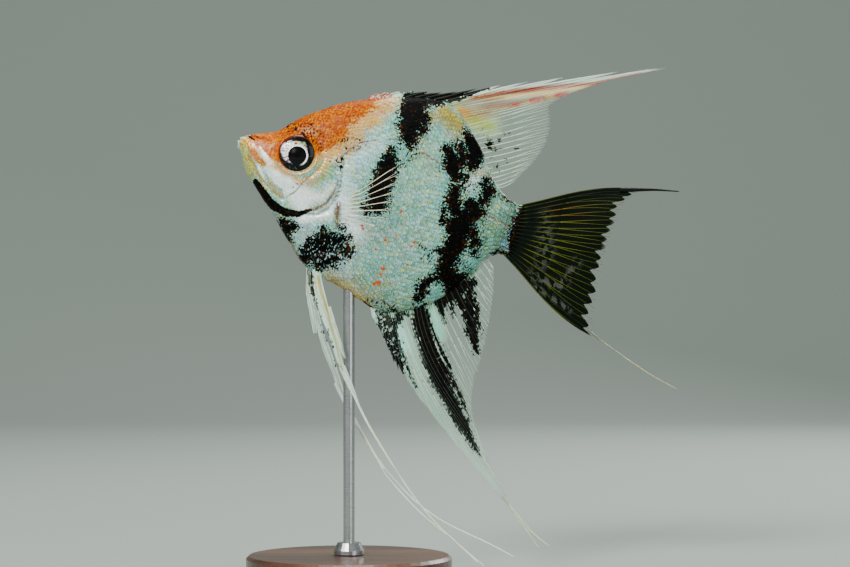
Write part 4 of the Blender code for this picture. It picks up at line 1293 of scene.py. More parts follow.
@dataclass
class Scales:
    """The overlapping scales of one flank, each a thin closed plate that follows the form."""

    side: Side
    spacing: float = 1.15
    drop: float = 1.22
    small: float = 0.72
    grows_over: Pair = (22.5, 30.5)
    length: float = 1.75
    width: float = 1.12
    lift: float = 0.015
    tilt: float = 0.115
    dome: float = 0.06
    cells: int = 5
    patch: float = 0.003
    margin: float = 0.02
    first: float = 3.0
    last_gap: float = 0.4
    highest: float = 0.25
    lowest: float = 0.995
    fewest: int = 4
    lean: float = 0.02
    eye_gap: float = 1.15
    gill_gap: float = 0.5

    def roots(self) -> tuple[Array, ...]:
        """Places the scales in staggered columns.

        Returns:
            Arrays of share, down and relative size, one entry for each scale.
        """
        length, column = self.first, 0
        found: list[Array] = []
        while length < FORM.lengths[-1] - self.last_gap:
            grown = float(smooth(*self.grows_over, np.array(length)))
            size = self.small + (1 - self.small) * grown
            share = float(FORM.share_at(length))
            girth = float(FORM.girth_at(share))
            count = max(int(girth / (self.drop * size)), self.fewest)
            down = (np.arange(count) + (0.5 if column % 2 else 0.0) + self.highest) / count
            down = down[down < self.lowest]
            found.append(np.stack((np.full(len(down), share), down, np.full(len(down), size)), -1))
            length += self.spacing * size
            column += 1
        return tuple(np.concatenate(found).T)

    def bare(self, points: Array) -> Array:
        """Which places have no scales: lips, jaws, cheek front, eye, gill edge and throat."""
        x, _, z = np.moveaxis(points, -1, 0)
        out = np.hypot(x - EYE_X, z - EYE_Z) < EYE_RADIUS + self.eye_gap
        out |= FACE_EDGE.near(x, z)[1] < 0
        out |= GILL_EDGE.near(x, z)[0] < self.gill_gap
        return out

    def plate(self) -> tuple[Array, Array, list[Array]]:
        """One scale's shape.

        Returns:
            Places (u along, v across) in -1 to 1 in a round outline, how far each is from the rim, and faces.
        """
        line = np.linspace(-1, 1, self.cells + 1)
        u, v = (a.reshape(-1) for a in np.meshgrid(line, line, indexing="ij"))
        round_u, round_v = u * np.sqrt(1 - v * v / 2), v * np.sqrt(1 - u * u / 2)
        inward = 1 - np.maximum(np.abs(u), np.abs(v))
        faces = [grid_faces(len(line), len(line)), grid_rim(len(line), len(line))[None, :]]
        return np.stack((round_u, round_v), -1), inward, faces

    def build(self, material: Material) -> Object:
        """Builds every scale of the flank as one mesh.

        Args:
            material: the finish, shared with the skin.

        Returns:
            The object.
        """
        sign = float(self.side.value)
        share, down, size = self.roots()
        keep = ~self.bare(FORM.point(share, down, np.full(len(share), sign)))
        share, down, size = share[keep], down[keep], size[keep]
        rng = np.random.default_rng(SEED + self.side.value)
        tint, lean = rng.random(len(share)), rng.normal(0, self.lean, len(share))
        uv, inward, faces = self.plate()
        girth = FORM.girth_at(share)
        per_mm = np.gradient(FORM.shares, FORM.lengths)
        along = np.interp(share, FORM.shares, per_mm)
        u, v = uv[None, :, 0], uv[None, :, 1]
        ahead = (u + 1) / 2
        here = share[:, None] + ahead * (self.length * size * along)[:, None]
        across = down[:, None] + v * (self.width * size / 2 / girth)[:, None]
        side = np.full(here.shape, sign)
        plain = FORM.point(here, across, side)
        normal = FORM.normal(here, across, side)
        rise = self.lift + self.tilt * ahead + self.dome * inward[None, :] + lean[:, None] * v
        height = RELIEF.height(plain) - Skin.inset + rise * size[:, None]
        points = plain + normal * height[..., None]
        count = len(share)
        per_scale = len(inward)
        offsets = (np.arange(count) * per_scale)[:, None, None]
        blocks = [(block[None] + offsets).reshape(-1, block.shape[1]) for block in faces]
        if self.side is Side.LEFT:
            blocks = [block[:, ::-1] for block in blocks]
        # rim, high on each scale's free edge, and lap, 0 at its root and 1 at its free edge, drive the
        # finish's painted highlight and painted shade.
        rim = np.broadcast_to(ahead * (1 - inward[None, :]), here.shape)
        maker = MeshMaker(f"scales_{self.side.word}")
        roots = (np.stack((share, down), -1) * (1 - 2 * self.margin) + self.margin)[:, None, :]
        places = roots + uv[None] * self.patch / 2
        flat = np.concatenate((places, np.zeros(places.shape[:2] + (1,))), -1)
        maker.add(points.reshape(-1, 3), blocks, tint=np.repeat(tint, per_scale), rim=rim.reshape(-1),
                  lap=np.broadcast_to(ahead, here.shape).reshape(-1),
                  place=flat.reshape(-1, 3), **MARKINGS.fields(plain.reshape(-1, 3)))
        LOG.info("%s: %d scales", maker.name, count)
        return maker.build(material, Slot.SKIN, uv="place")


@dataclass
class Eye:
    """One eyeball: a low dome with a bulging lens, and the colours' centres a little forward of it."""

    side: Side
    depth: float = 4.25
    dome_radius: float = 5.2
    dome_height: float = 1.75
    lens_slope: Pair = (0.6, 2.3)
    lens_height: float = 0.22
    rings: int = 40
    around: int = 96
    pupil_shift: Pair = (0.04, -0.30)
    iris_shift: Pair = (-1.25, 0.80)
    brow_turn: float = 2.06
    brow_width: Pair = (0.75, 0.3)
    brow_reach: Pair = (3.1, 3.9)
    brow_depth: float = 2.2
    hole: float = 0.001
    within: float = 0.999

    def build(self, material: Material) -> Object:
        """Builds the eyeball and its colour fields.

        Args:
            material: the glossy finish.

        Returns:
            The object, which stands for the eye's solid.
        """
        radius = np.linspace(self.hole, 1.0, self.rings)[:, None]
        turn = np.linspace(0, math.tau, self.around, endpoint=False)[None, :]
        r = self.dome_radius * np.sin(radius * math.pi / 2) * self.within
        x, z = r * np.cos(turn), r * np.sin(turn)
        pupil = np.hypot(x - self.pupil_shift[0], z - self.pupil_shift[1])
        iris = np.hypot(x - self.iris_shift[0], z - self.iris_shift[1])
        dome = self.dome_height * np.sqrt(np.maximum(1 - (r / self.dome_radius) ** 2, 0))
        lens = self.lens_height * (1 - smooth(*self.lens_slope, pupil))
        out = self.side.value * (self.depth + dome + lens)
        toward = np.arctan2(z, x)
        brow = smooth(*self.brow_reach, r) * smooth(*self.brow_width, np.abs(toward - self.brow_turn))
        points = np.stack((EYE_X + x, out, EYE_Z + z), -1).reshape(-1, 3)
        blocks = [grid_faces(self.rings, self.around, closed=True)[:, ::-1]]
        blocks += end_faces(self.rings, self.around)
        if self.side is Side.LEFT:
            blocks = [block[:, ::-1] for block in blocks]
        colours = {
            "from_eye": np.broadcast_to(r, x.shape), "from_iris": iris + self.brow_depth * brow,
            "from_pupil": pupil, "crown": smooth(0.5, 2.6, z - 1.0),
            "blush": smooth(-0.2, 0.9, np.cos(toward + 0.7)),
            "foot": smooth(0.35, 0.8, -np.sin(toward + 0.2)),
        }
        maker = MeshMaker(f"eye_ball_{self.side.word}")
        maker.add(points, blocks, body=points, **{name: value.reshape(-1) for name, value in colours.items()})
        made = maker.build(material, Slot.EYE)
        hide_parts(f"eye_{self.side.word}")
        return made


# ---------------------------------------------------------------- fins

# Rays of the fins: the root x, z, the tip x, z, and the bow as a share of the ray's length.
DORSAL_RAYS = (
    (28.8, 21.8, 29.4, 23.4, 0), (31.7, 23, 33.4, 25.3, 0), (35.4, 24.4, 40.8, 27.9, 0),
    (39.6, 25.8, 48.7, 30.1, 0.01), (43.6, 26.9, 59.1, 35.1, 0.06), (47.4, 27.5, 75, 42.6, 0.02),
    (49.2, 27.4, 100.2, 53.6, 0.005), (50.8, 26.9, 90.6, 47.9, 0.03), (52.3, 26, 84.8, 44, 0.03),
    (53.9, 24.8, 77.8, 38.6, 0.03), (56, 23.2, 75, 34.9, 0.03), (58.4, 21, 76.2, 31.4, 0.03),
    (60.6, 18.9, 76.8, 28, 0.03), (62.8, 16.4, 76.7, 24.6, 0.03), (65, 13.7, 75.6, 20.6, 0.03),
    (67, 11.6, 73.8, 16.8, 0.02), (69, 10.1, 71.8, 12.8, 0),
)
ANAL_RAYS = (
    (46.2, -29.5, 47.6, -32.4, 0), (48, -30, 52, -36.6, -0.02), (49.1, -30.1, 56.8, -42, -0.03),
    (50.2, -30, 60.6, -44.9, -0.014), (51.3, -29.7, 68, -50.4, 0.01), (52.4, -29.3, 82, -59.8, 0.025),
    (53.5, -28.9, 94.4, -67.3, 0.033), (54.6, -28.4, 95.6, -66.6, 0.04), (55.9, -27.7, 89.8, -60.7, 0.05),
    (57.5, -26.8, 86.5, -56.6, 0.055), (59.2, -25.6, 82.1, -50.8, 0.045), (61, -24.1, 79.4, -45.2, 0.028),
    (62.8, -22.3, 78.4, -39.2, 0.02), (64.8, -19.6, 78.2, -33, 0.02), (66.6, -16.8, 77.6, -27, 0.02),
    (68.3, -13.8, 76.6, -20.6, 0.02), (69.8, -11, 75.6, -15.6, 0.01), (71.4, -8.4, 73.8, -10.2, 0),
)
TAIL_RAYS = (
    (75.4, 7.4, 104, 21.3, -0.056), (75.7, 6.2, 102.6, 18.6, -0.05), (76, 4.9, 101, 15.6, -0.04),
    (76.2, 3.6, 100.6, 12.4, -0.02), (76.3, 2.3, 100.8, 9.2, 0), (76.4, 1, 100.8, 5.8, 0),
    (76.4, -0.4, 100.6, 2, 0), (76.3, -1.7, 100.9, -2, 0), (76.2, -2.9, 101.4, -6.6, 0.01),
    (76, -4, 102.2, -11.2, 0.02), (75.8, -4.9, 103, -15.6, 0.04), (75.6, -5.7, 104, -19.2, 0.06),
)
PECTORAL_RAYS = (
    (29.9, -5.6, 41.4, 6.8, 0.04), (30.3, -6.8, 43, 3.6, 0.02), (30.7, -8, 43.8, -0.4, 0),
    (31.1, -9.2, 43.4, -4.8, -0.02), (31.5, -10.4, 41.2, -9.4, -0.04),
)
# Rays start this many millimetres inside their root, towards the body's centre.
BODY_CENTRE = (46.0, -1.0)
ROOT_DEPTH = 1.6
# How steeply the bow of a ray rises and falls along it.
EARLY_BOW = (1.0, 2.0)
LATE_BOW = (1.5, 1.0)


@dataclass(frozen=True)
class FinColours:
    """What a fin's web and rays look like, zone by zone."""

    web: Colour = paint(205, 222, 205)
    ray: Colour = paint(236, 240, 226)
    solid: float = 0.05
    milk: float = 0.45
    washes: tuple[Zone, ...] = ()
    ray_washes: tuple[Zone, ...] = ()
    warm: tuple[Zone, ...] = ()
    ink: tuple[Track, ...] = ()
    dots: tuple[Zone, ...] = ()
    frost: tuple[Zone, ...] = ()
    holes: tuple[Zone, ...] = ()
    gaps: tuple[Zone, ...] = ()

    def fields(self, points: Array) -> dict[str, Array]:
        """The attributes that web and rays share.

        Args:
            points: body millimetres, (n, 3).

        Returns:
            Arrays by attribute name.
        """
        x, _, z = np.moveaxis(points, -1, 0)
        solid = np.full(len(points), self.solid)
        for wash in self.washes:
            cover = wash.cover(x, z)
            solid = solid * (1 - cover) + wash.solid * cover
        gap = most(self.gaps, x, z)
        return {
            "tone": washed(self.web, self.washes, x, z), "ray_tone": washed(self.ray, self.ray_washes, x, z),
            "warm": most(self.warm, x, z), "dots": most(self.dots, x, z), "frost": most(self.frost, x, z),
            "holes": most(self.holes, x, z), "clear": 1 - solid * (1 - gap),
            "ink": deepest(self.ink, x, z) - 6 * gap, "milk": np.full(len(points), self.milk), "body": points,
        }


@dataclass
class Fin:
    """A fin: a thin web between raised rays that split towards their tips."""

    name: str
    node: str
    keys: Rows
    rays: int
    colours: FinColours
    slot: Slot = Slot.CLEAR_FIN
    side: Side = Side.RIGHT
    spines: int = 0
    root_y: float = 0.0
    tip_y: float = 0.0
    splay: float = 0.8
    sway: float = 0.0
    bend: Pair = EARLY_BOW
    into_x: float | None = None
    web_thickness: float = 0.14
    ray_radius: float = 0.15
    spine_radius: float = 0.24
    split_at: float = 0.5
    split_spread: float = 0.34
    spine_notch: float = 0.34
    soft_notch: float = 0.035
    fray: float = 0.02
    web_steps: int = 40
    columns_per_ray: int = 6
    web_end: float = 0.985
    web_taper: float = 0.5
    tuck_power: int = 6
    sway_turns: float = 1.5
    spine_steps: int = 16
    base_steps: int = 14
    branch_steps: int = 18
    spine_tip: float = 0.04
    base_taper: float = 0.35
    branch_size: float = 0.86
    branch_taper: float = 0.55
    uneven_tips: float = 0.005
    ray_fan: float = 3.0

    def point(self, across: Array, along: Array) -> Array:
        """Places in the fin's middle sheet.

        Args:
            across: share across the rays.
            along: share from root to tip.

        Returns:
            Body millimetres, with x, y, z last.
        """
        across, along = np.broadcast_arrays(np.asarray(across, float), np.asarray(along, float))
        root_x, root_z, tip_x, tip_z, bow = np.moveaxis(curve_through(self.keys, across), -1, 0)
        rise, fall = self.bend
        peak = rise / (rise + fall)
        t = np.clip(along, 0, 1)
        bend = bow * (t / peak) ** rise * ((1 - t) / (1 - peak)) ** fall
        way_x, way_z = tip_x - root_x, tip_z - root_z
        tuck = (1 - t) ** self.tuck_power
        if self.into_x is None:
            in_x, in_z = BODY_CENTRE[0] - root_x, BODY_CENTRE[1] - root_z
            size = np.hypot(in_x, in_z) / ROOT_DEPTH
            in_x, in_z = in_x / size, in_z / size
        else:
            in_x, in_z = self.into_x, 0.0
        x = root_x + way_x * t + way_z * bend + in_x * tuck
        z = root_z + way_z * t - way_x * bend + in_z * tuck
        depth = self.root_y + (self.tip_y - self.root_y) * t ** self.splay
        y = self.side.value * depth + self.sway * np.sin(math.pi * (across * self.sway_turns + t)) * t
        return np.stack((x, y, z), -1)

    def reach(self, across: Array) -> Array:
        """How far out the web reaches: nearly to the tips at the rays, less between them."""
        place = across * (self.rays - 1)
        between = 2 * np.abs(place - np.round(place))
        notch = np.where(place < self.spines, self.spine_notch, self.soft_notch)
        uneven = 0.5 + 0.5 * np.sin(place * 2.399 + 1.7 * np.sin(place * 0.71))
        return self.web_end - notch * between ** 1.4 - self.fray * uneven

    def web(self, material: Material) -> Object:
        """The web as a thin closed sheet, which stands for the fin's solid.

        Args:
            material: the web's finish.

        Returns:
            The object.
        """
        columns = (self.rays - 1) * self.columns_per_ray + 1
        across = np.linspace(0, 1, columns)[:, None]
        share = np.linspace(0, 1, self.web_steps)[None, :]
        along = share * self.reach(across)
        middle = self.point(across, along)
        normal = unit(np.cross(np.gradient(middle, axis=0), np.gradient(middle, axis=1)))
        half = self.web_thickness / 2 * (1 - self.web_taper * share)[..., None]
        sheets = np.stack((middle + normal * half, middle - normal * half))
        n, m = middle.shape[:2]
        face = grid_faces(n, m)
        rim = grid_rim(n, m)
        after = np.roll(rim, -1)
        wall = np.stack((rim, after, after + n * m, rim + n * m), -1)
        points = sheets.reshape(-1, 3)
        fan = np.stack(np.broadcast_arrays(across * (self.rays - 1), along, 0 * along), -1).reshape(-1, 3)
        maker = MeshMaker(self.name)
        maker.add(points, [face, face[:, ::-1] + n * m, wall[:, ::-1]], fan=np.concatenate((fan, fan)),
                  **self.colours.fields(points))
        made = maker.build(material, self.slot)
        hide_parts(self.node)
        return made

    def ray_paths(self) -> list[tuple[Array, Array, Array]]:
        """Every ray and branch as arrays of across, along and radius."""
        paths = []
        step = 1 / (self.rays - 1)
        for k in range(self.rays):
            u = k * step
            if k < self.spines:
                along = np.linspace(0, 1, self.spine_steps)
                radii = self.spine_radius * (1 - along) ** 0.6 + self.spine_tip
                paths.append((np.full(self.spine_steps, u), along, radii))
                continue
            base = np.linspace(0, self.split_at, self.base_steps)
            size = self.ray_radius * (1 - self.base_taper * base)
            paths.append((np.full(self.base_steps, u), base, size))
            end = 1 - self.uneven_tips * (k * 7 % 5)
            for lean in (-1, 1):
                along = np.linspace(self.split_at, end, self.branch_steps)
                grow = (along - self.split_at) / (1 - self.split_at)
                across = np.clip(u + lean * self.split_spread * step * grow ** 0.8, 0, 1)
                paths.append((across, along, size[-1] * (self.branch_size - self.branch_taper * grow)))
        return paths

    def ray_mesh(self, material: Material) -> Object:
        """The rays and spines as tapered tubes that stand proud of the web.

        Args:
            material: the rays' finish.

        Returns:
            The object.
        """
        maker = MeshMaker(f"{self.name}_rays")
        for across, along, radii in self.ray_paths():
            path = self.point(across, along)
            points, faces = tube(path, radii)
            sides = len(points) // len(path)
            fan = np.stack((across * (self.rays - 1) + self.ray_fan, along, 0 * along), -1)
            maker.add(points, faces, fan=np.repeat(fan, sides, axis=0), **self.colours.fields(points))
        return maker.build(material, self.slot)


# Colours of the fins: washes start with how solid they make the web, and masks with their softness.
DORSAL_COLOURS = FinColours(
    web=paint(176, 214, 184), ray=paint(190, 222, 196), milk=0.3,
    washes=webs(
        (0.95, PEARL, 1, 1, (28, 22.5, 2), (36, 26.5, 2.2), (44, 29, 2.4)),
        (0.85, paint(150, 168, 0), 2.2, 0.95, (52, 25.8, 1.8), (57, 24.8, 2.4), (61.4, 24.8, 1.8)),
        (0.95, YELLOW, 1.2, 0.8, (50, 26.4, 0.9), (54, 26, 1)),
        (0.97, PEARL, 0.8, 1, (48, 28, 1.4), (57, 32.4, 1.8), (71, 38.6, 1.8), (84, 44.6, 1.8),
         (100, 53.4, 1.4)),
        (0.97, YELLOW, 0.5, 0.85, (56, 30.4, 0.5), (63, 33.4, 0.5), (72, 37.6, 0.5), (84, 43.2, 0.4)),
        (0.97, paint(154, 64, 0), 0.35, 0.95, (51, 28, 0.6), (57, 31.6, 0.7), (63, 34.8, 0.7),
         (72, 38.8, 0.7), (84, 44, 0.5), (95, 50.2, 0.4)),
        (0.97, paint(128, 16, 0), 0.4, 0.8, (52.6, 27.4, 0.35), (58, 30.6, 0.4), (62, 32.6, 0.35)),
        (0.97, paint(172, 8, 0), 0.5, 0.95, (65.4, 31.9, 0.5), (66.8, 32.5, 0.5)),
        (0.97, paint(172, 8, 0), 0.5, 0.95, (69.4, 34.4, 0.7), (71.6, 35.4, 0.7)),
        (0.97, paint(168, 14, 0), 0.5, 0.95, (75, 37.6, 0.6), (78, 39.2, 0.6)),
        (0.97, paint(172, 8, 0), 0.5, 0.9, (82, 41.4, 0.5), (86, 43.8, 0.5)),
        (0.97, paint(190, 44, 6), 0.6, 0.6, (90, 47.4, 0.4), (99, 52.8, 0.4)),
        (0.97, WHITE, 0.4, 0.7, (50.6, 30, 0.5), (61.4, 35.8, 0.7), (70.2, 40, 0.8), (82.6, 45.6, 0.7),
         (97, 52.4, 0.3)),
    ),
    ray_washes=zones(
        (paint(176, 176, 0), 2, 0.8, (50, 26, 1.5), (57, 26.6, 3), (62, 27, 2.4)),
        (YELLOW, 0.7, 0.9, (52, 26.6, 0.8), (60, 29.6, 0.8), (68, 33.6, 0.9), (82, 41.4, 0.8)),
        (paint(154, 64, 0), 0.35, 1, (53.9, 30, 0.5), (61.6, 34.3, 0.65), (69.8, 37.9, 0.65),
         (82.1, 43.5, 0.6), (94.3, 50.2, 0.5)),
        (RED, 0.5, 1, (65, 31.9, 0.6), (67, 33, 0.6)),
        (RED, 0.5, 1, (69.4, 34.6, 0.8), (72.4, 36.2, 0.7)),
        (RED, 0.5, 1, (75.4, 38.2, 0.6), (78.4, 39.6, 0.6)),
        (RED, 0.5, 1, (82, 41.8, 0.6), (86, 44.4, 0.5)),
        (ORANGE, 0.8, 0.95, (28.6, 22.4, 1.2), (33, 25, 1.3)),
    ),
    warm=masks(
        (0.8, 0.9, (29, 22.5, 1.6), (33.4, 25, 1.2)),
        (1.2, 0.7, (53, 25.4, 1.2), (57, 26.4, 1), (60, 28, 0.8)),
        (0.8, 0.6, (59, 29.6, 0.8), (66, 32.6, 0.8)),
    ),
    ink=tracks(
        ((38, 25.4, 1.2), (41, 26.4, 2), (46, 27.8, 2.1), (50, 29.6, 1.7), (53.4, 31.6, 1.1),
         (58, 34.6, 0.4)), ((62.4, 21, 0.9), (63.2, 19.4, 0.8)), ((66.6, 15.4, 0.6),),
        ((64.4, 19.4, 0.4), (66.2, 20.4, 0.2)), ((66.4, 24, 0.25),), ((63.6, 25.6, 0.2),),
        ((64.6, 22.4, 0.3),), ((69.6, 21.4, 0.2),), ((68, 17.4, 0.25),),
    ),
    dots=masks(
        (1.4, 0.9, (60, 22.6, 1.4), (64, 18, 1.4), (67, 13.6, 1)), (1, 0.9, (52, 31, 0.8), (60, 35, 0.5)),
    ),
)
ANAL_COLOURS = FinColours(
    web=paint(164, 208, 178), ray=paint(176, 216, 194), milk=0.3,
    washes=webs(
        (0.68, PEARL, 1.2, 1, (46, -30.5, 1.6), (51, -34, 3.4), (56, -39, 3.6), (59, -43, 2)),
        (0.95, paint(150, 220, 204), 1.2, 0.95, (54.6, -32, 1.6), (57.4, -36, 2), (61.4, -41.4, 1.8)),
        (0.28, paint(164, 210, 184), 1.4, 1, (60, -40, 2.2), (66, -47, 2), (76, -55, 1.6), (88, -63.5, 1.4),
         (95, -67, 1)),
        (0.8, paint(130, 210, 184), 1.4, 1, (61, -25.4, 1), (63.6, -28, 1.6), (66, -31.4, 1.2)),
        (0.9, SILVER_GREY, 0.8, 1, (50, -30.5, 1), (57.5, -28, 1), (64, -21.5, 1), (69.5, -12, 0.8)),
        (0.6, PEARL, 0.6, 0.9, (54, -40.4, 0.5), (58.4, -45.4, 0.5), (61.4, -49, 0.4)),
    ),
    ink=tracks(
        ((57.6, -25.6, 1.4), (59.2, -27.4, 2.3), (60.2, -29.4, 2.4), (63, -33.8, 2.3), (65.9, -38.2, 2.4),
         (69.4, -42.4, 2.3), (73.9, -46.8, 2), (78, -50.9, 1.7), (82.3, -55.1, 1), (85.3, -58, 0.3)),
        ((62, -28.4, 0.3), (66, -33.6, 0.5), (70.6, -38.8, 0.7), (74.8, -43.4, 0.5), (80.2, -50.2, 0.3)),
        ((63, -22.4, 2.2), (66.4, -18.6, 2.4), (69.4, -15.8, 1.5)), ((64, -24.4, 1.2), (66.2, -28.2, 0.3)),
        ((65.4, -21.4, 0.8), (67.8, -25, 0.3)), ((66.6, -19.6, 1.4), (69.2, -22, 1.4)),
        ((69.4, -17.6, 1.4), (71.2, -23.6, 1.6), (74, -28.4, 1.7), (76.4, -32.6, 0.7)),
        ((70.8, -18, 0.6), (73.6, -23.6, 0.6), (76.4, -28.5, 0.3)),
        ((49.4, -30.4, 1.6), (51.6, -33, 2.5), (54.2, -36.6, 2.4), (56.8, -40.2, 1.8), (59.2, -43.4, 1.1)),
        ((55.4, -28.8, 1), (53.8, -30.8, 1.4), (53.6, -33.6, 1)),
        ((57.2, -37.6, 0.3), (60.6, -42.2, 0.35), (64, -46.2, 0.2)),
    ),
    frost=masks(
        (1.4, 0.7, (50, -31.4, 1.6), (53.4, -35.6, 1.6), (56, -39.4, 0.9)),
        (0.8, 0.5, (58, -33, 0.8), (61.6, -38, 0.8)),
    ),
    dots=masks(
        (1.4, 0.8, (48, -30.6, 1), (54, -33, 3), (57.4, -38, 1.8)),
        (1.6, 0.5, (66, -30, 1), (72, -37, 1.6)),
    ),
)
TAIL_COLOURS = FinColours(
    web=paint(1, 9, 2), ray=paint(84, 92, 0), solid=0.98, milk=0,
    ray_washes=zones(
        (paint(2, 10, 3), 1.5, 0.95, (103, 22, 2.6), (92, 16, 1.4), (80, 9, 1.2)),
        (paint(120, 62, 0), 2, 0.6, (84, 9, 1.4), (92, 11, 1.4)),
        (paint(2, 10, 3), 1, 0.9, (78, -6, 1.2), (90, -12, 1), (104, -20, 1.2)),
        (paint(1, 8, 2), 1.6, 1, (78.4, 7.4, 1.8), (79.6, 4.4, 2.4), (79.2, 0.4, 2.4), (78.4, -3.2, 2.2),
         (77.6, -6, 1.8)),
    ),
    dots=masks((1, 1, (76.4, 8, 1.6), (77, 0, 2), (76.4, -6, 1.6))),
    holes=masks(
        (2.6, 0.6, (82.4, 7.4, 1.4), (84, 3, 2.2), (85.6, -2, 2.4), (85, -7, 1.6)),
        (1.6, 0.7, (84, -9, 1.4), (92, -9.6, 1.4), (94, -2, 1.2)),
        (0.9, 0.8, (86, -11.4, 0.7), (96, -14.6, 0.8)),
    ),
    gaps=masks((0.9, 0.9, (101.6, 17.4, 0.6), (101.4, 13, 1.5), (101, 8, 1.5), (100.6, 3, 1.3))),
)
PECTORAL_COLOURS = FinColours(web=paint(40, 46, 44), ray=paint(250, 240, 206), solid=0, milk=0)
PELVIC_COLOURS = FinColours(
    ray=paint(212, 248, 236), milk=0.5,
    ray_washes=zones(
        (paint(186, 214, 206), 0.5, 0.8, (32.4, -34.3, 0.4), (36.5, -41.2, 0.7), (41.6, -47.9, 0.8),
         (46.6, -54.7, 0.7)),
        (paint(184, 170, 0), 0.3, 0.95, (30.8, -26.6, 0.36), (32.6, -30, 0.36), (35.2, -33.4, 0.32),
         (38, -37.4, 0.3), (40.5, -41, 0.2), (44.6, -47.8, 0.15)),
        (OCHRE, 0.25, 0.9, (38.4, -36.6, 0.05), (41, -39.8, 0.1), (44.4, -45, 0.12), (45.6, -47.3, 0.05)),
        (OCHRE, 0.25, 0.7, (34.8, -37, 0.05), (39.9, -44.1, 0.06), (43.2, -48, 0.05)),
    ),
    ink=tracks(
        ((28.6, -26, 0.5), (30, -29.7, 0.5), (31.3, -31.8, 0.4), (32.7, -34.2, 0.3)),
        ((34.6, -36.8, 0.4), (36.8, -39.3, 0.5), (38.8, -41.8, 0.45), (40.8, -44.6, 0.3),
         (42.6, -47.4, 0.3)),
    ),
)


def fins() -> list[Fin]:
    """Every fin that has a web."""
    pectoral = {
        "root_y": 5.0, "tip_y": 9.6, "into_x": -0.6, "web_thickness": 0.06, "ray_radius": 0.105,
        "split_at": 0.75, "split_spread": 0.14,
    }
    return [
        Fin("fin_dorsal", "dorsal_fin", DORSAL_RAYS, 36, DORSAL_COLOURS, spines=13, sway=0.5,
            ray_radius=0.13),
        Fin("fin_anal", "anal_fin", ANAL_RAYS, 36, ANAL_COLOURS, spines=7, sway=-0.6, spine_notch=0.12,
            ray_radius=0.13),
        Fin("fin_tail", "tail_fin", TAIL_RAYS, 17, TAIL_COLOURS, slot=Slot.DARK_FIN, sway=0.7, bend=LATE_BOW,
            columns_per_ray=8, soft_notch=0.07, fray=0.04, split_at=0.42, ray_radius=0.17),
        *(Fin(f"fin_pectoral_{side.word}", f"pectoral_fin_{side.word}", PECTORAL_RAYS, 8, PECTORAL_COLOURS,
              side=side, **pectoral) for side in Side),
    ]


@dataclass(frozen=True)
class PelvicFin:
    """A pelvic fin: long blades of tapering rays, with (x, z, half width) along each blade's middle."""

    side: Side
    blades: tuple[Rows, ...]
    ray_gap: float = 0.5
    least: float = 0.1
    steps: int = 56
    sides: int = 8
    depths: Pair = (1.3, 4.35)
    depth_at: Pair = (-25.0, -51.0)
    spread: float = 0.86
    fullness: float = 0.9
    stagger: float = 0.22
    blade_step: float = 0.2

    def build(self, material: Material) -> Object:
        """Builds the blades as one mesh.

        Args:
            material: the rays' finish.

        Returns:
            The object, which stands for the fin's solid.
        """
        share = np.linspace(0, 1, self.steps)
        along = np.repeat(np.stack((0 * share, share * 2, 0 * share), -1), self.sides, axis=0)
        maker = MeshMaker(f"fin_pelvic_{self.side.word}")
        for number, blade in enumerate(self.blades):
            rows = curve_through(blade, share)
            half = np.clip(rows[:, 2], self.least, None)
            lead = unit(np.gradient(rows[:, :2], axis=0))
            count = max(2, math.ceil(2 * half.max() / self.ray_gap) + 1)
            depth = np.interp(-rows[:, 1], [-place for place in self.depth_at], self.depths)
            for k in range(count):
                across = (k / (count - 1) - 0.5) * 2 * half * self.spread
                depths = depth + self.stagger * (k % 2) + self.blade_step * number
                path = np.stack((rows[:, 0] - lead[:, 1] * across, self.side.value * depths,
                                 rows[:, 1] + lead[:, 0] * across), -1)
                radii = np.maximum(half * self.fullness / (count - 1), self.least)
                points, faces = tube(path, radii, self.sides)
                maker.add(points, faces, fan=along + (k * 2.0, 0, 0), **PELVIC_COLOURS.fields(points))
        made = maker.build(material, Slot.CLEAR_FIN)
        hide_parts(f"pelvic_fin_{self.side.word}")
        return made


PELVICS = (
    PelvicFin(Side.LEFT, (
        ((29.9, -24.6, 1.1), (30.7, -27.2, 1.2), (33, -31.2, 1.3), (35.3, -34.8, 1.3), (37.7, -37.9, 1.1),
         (40.2, -41.3, 1), (42.9, -45.5, 0.8), (45.3, -48.6, 0.6), (48.2, -52, 0.35)),
        ((36, -33.1, 0.3), (38.8, -37.3, 0.4), (41.7, -41.5, 0.45), (44.2, -44.6, 0.1)),
        ((44.4, -46.6, 0.3), (48.2, -51.2, 0.3), (51, -54.4, 0.1)),
    )),
    PelvicFin(Side.RIGHT, (
        ((28.3, -24.8, 0.3), (30.1, -29.9, 0.4), (32.4, -34.3, 0.5), (34.4, -37.9, 0.6),
         (36.5, -41.2, 0.78), (39.1, -44.7, 0.95), (41.6, -47.9, 0.8), (43.9, -51, 0.7),
         (46.6, -54.7, 0.6)),
        ((27.4, -25.2, 0.3), (29.1, -30.5, 0.5), (30.4, -32.9, 0.7), (32, -35.8, 0.75), (33.3, -38.3, 0.7),
         (34.4, -41, 0.35)),
    )),
)


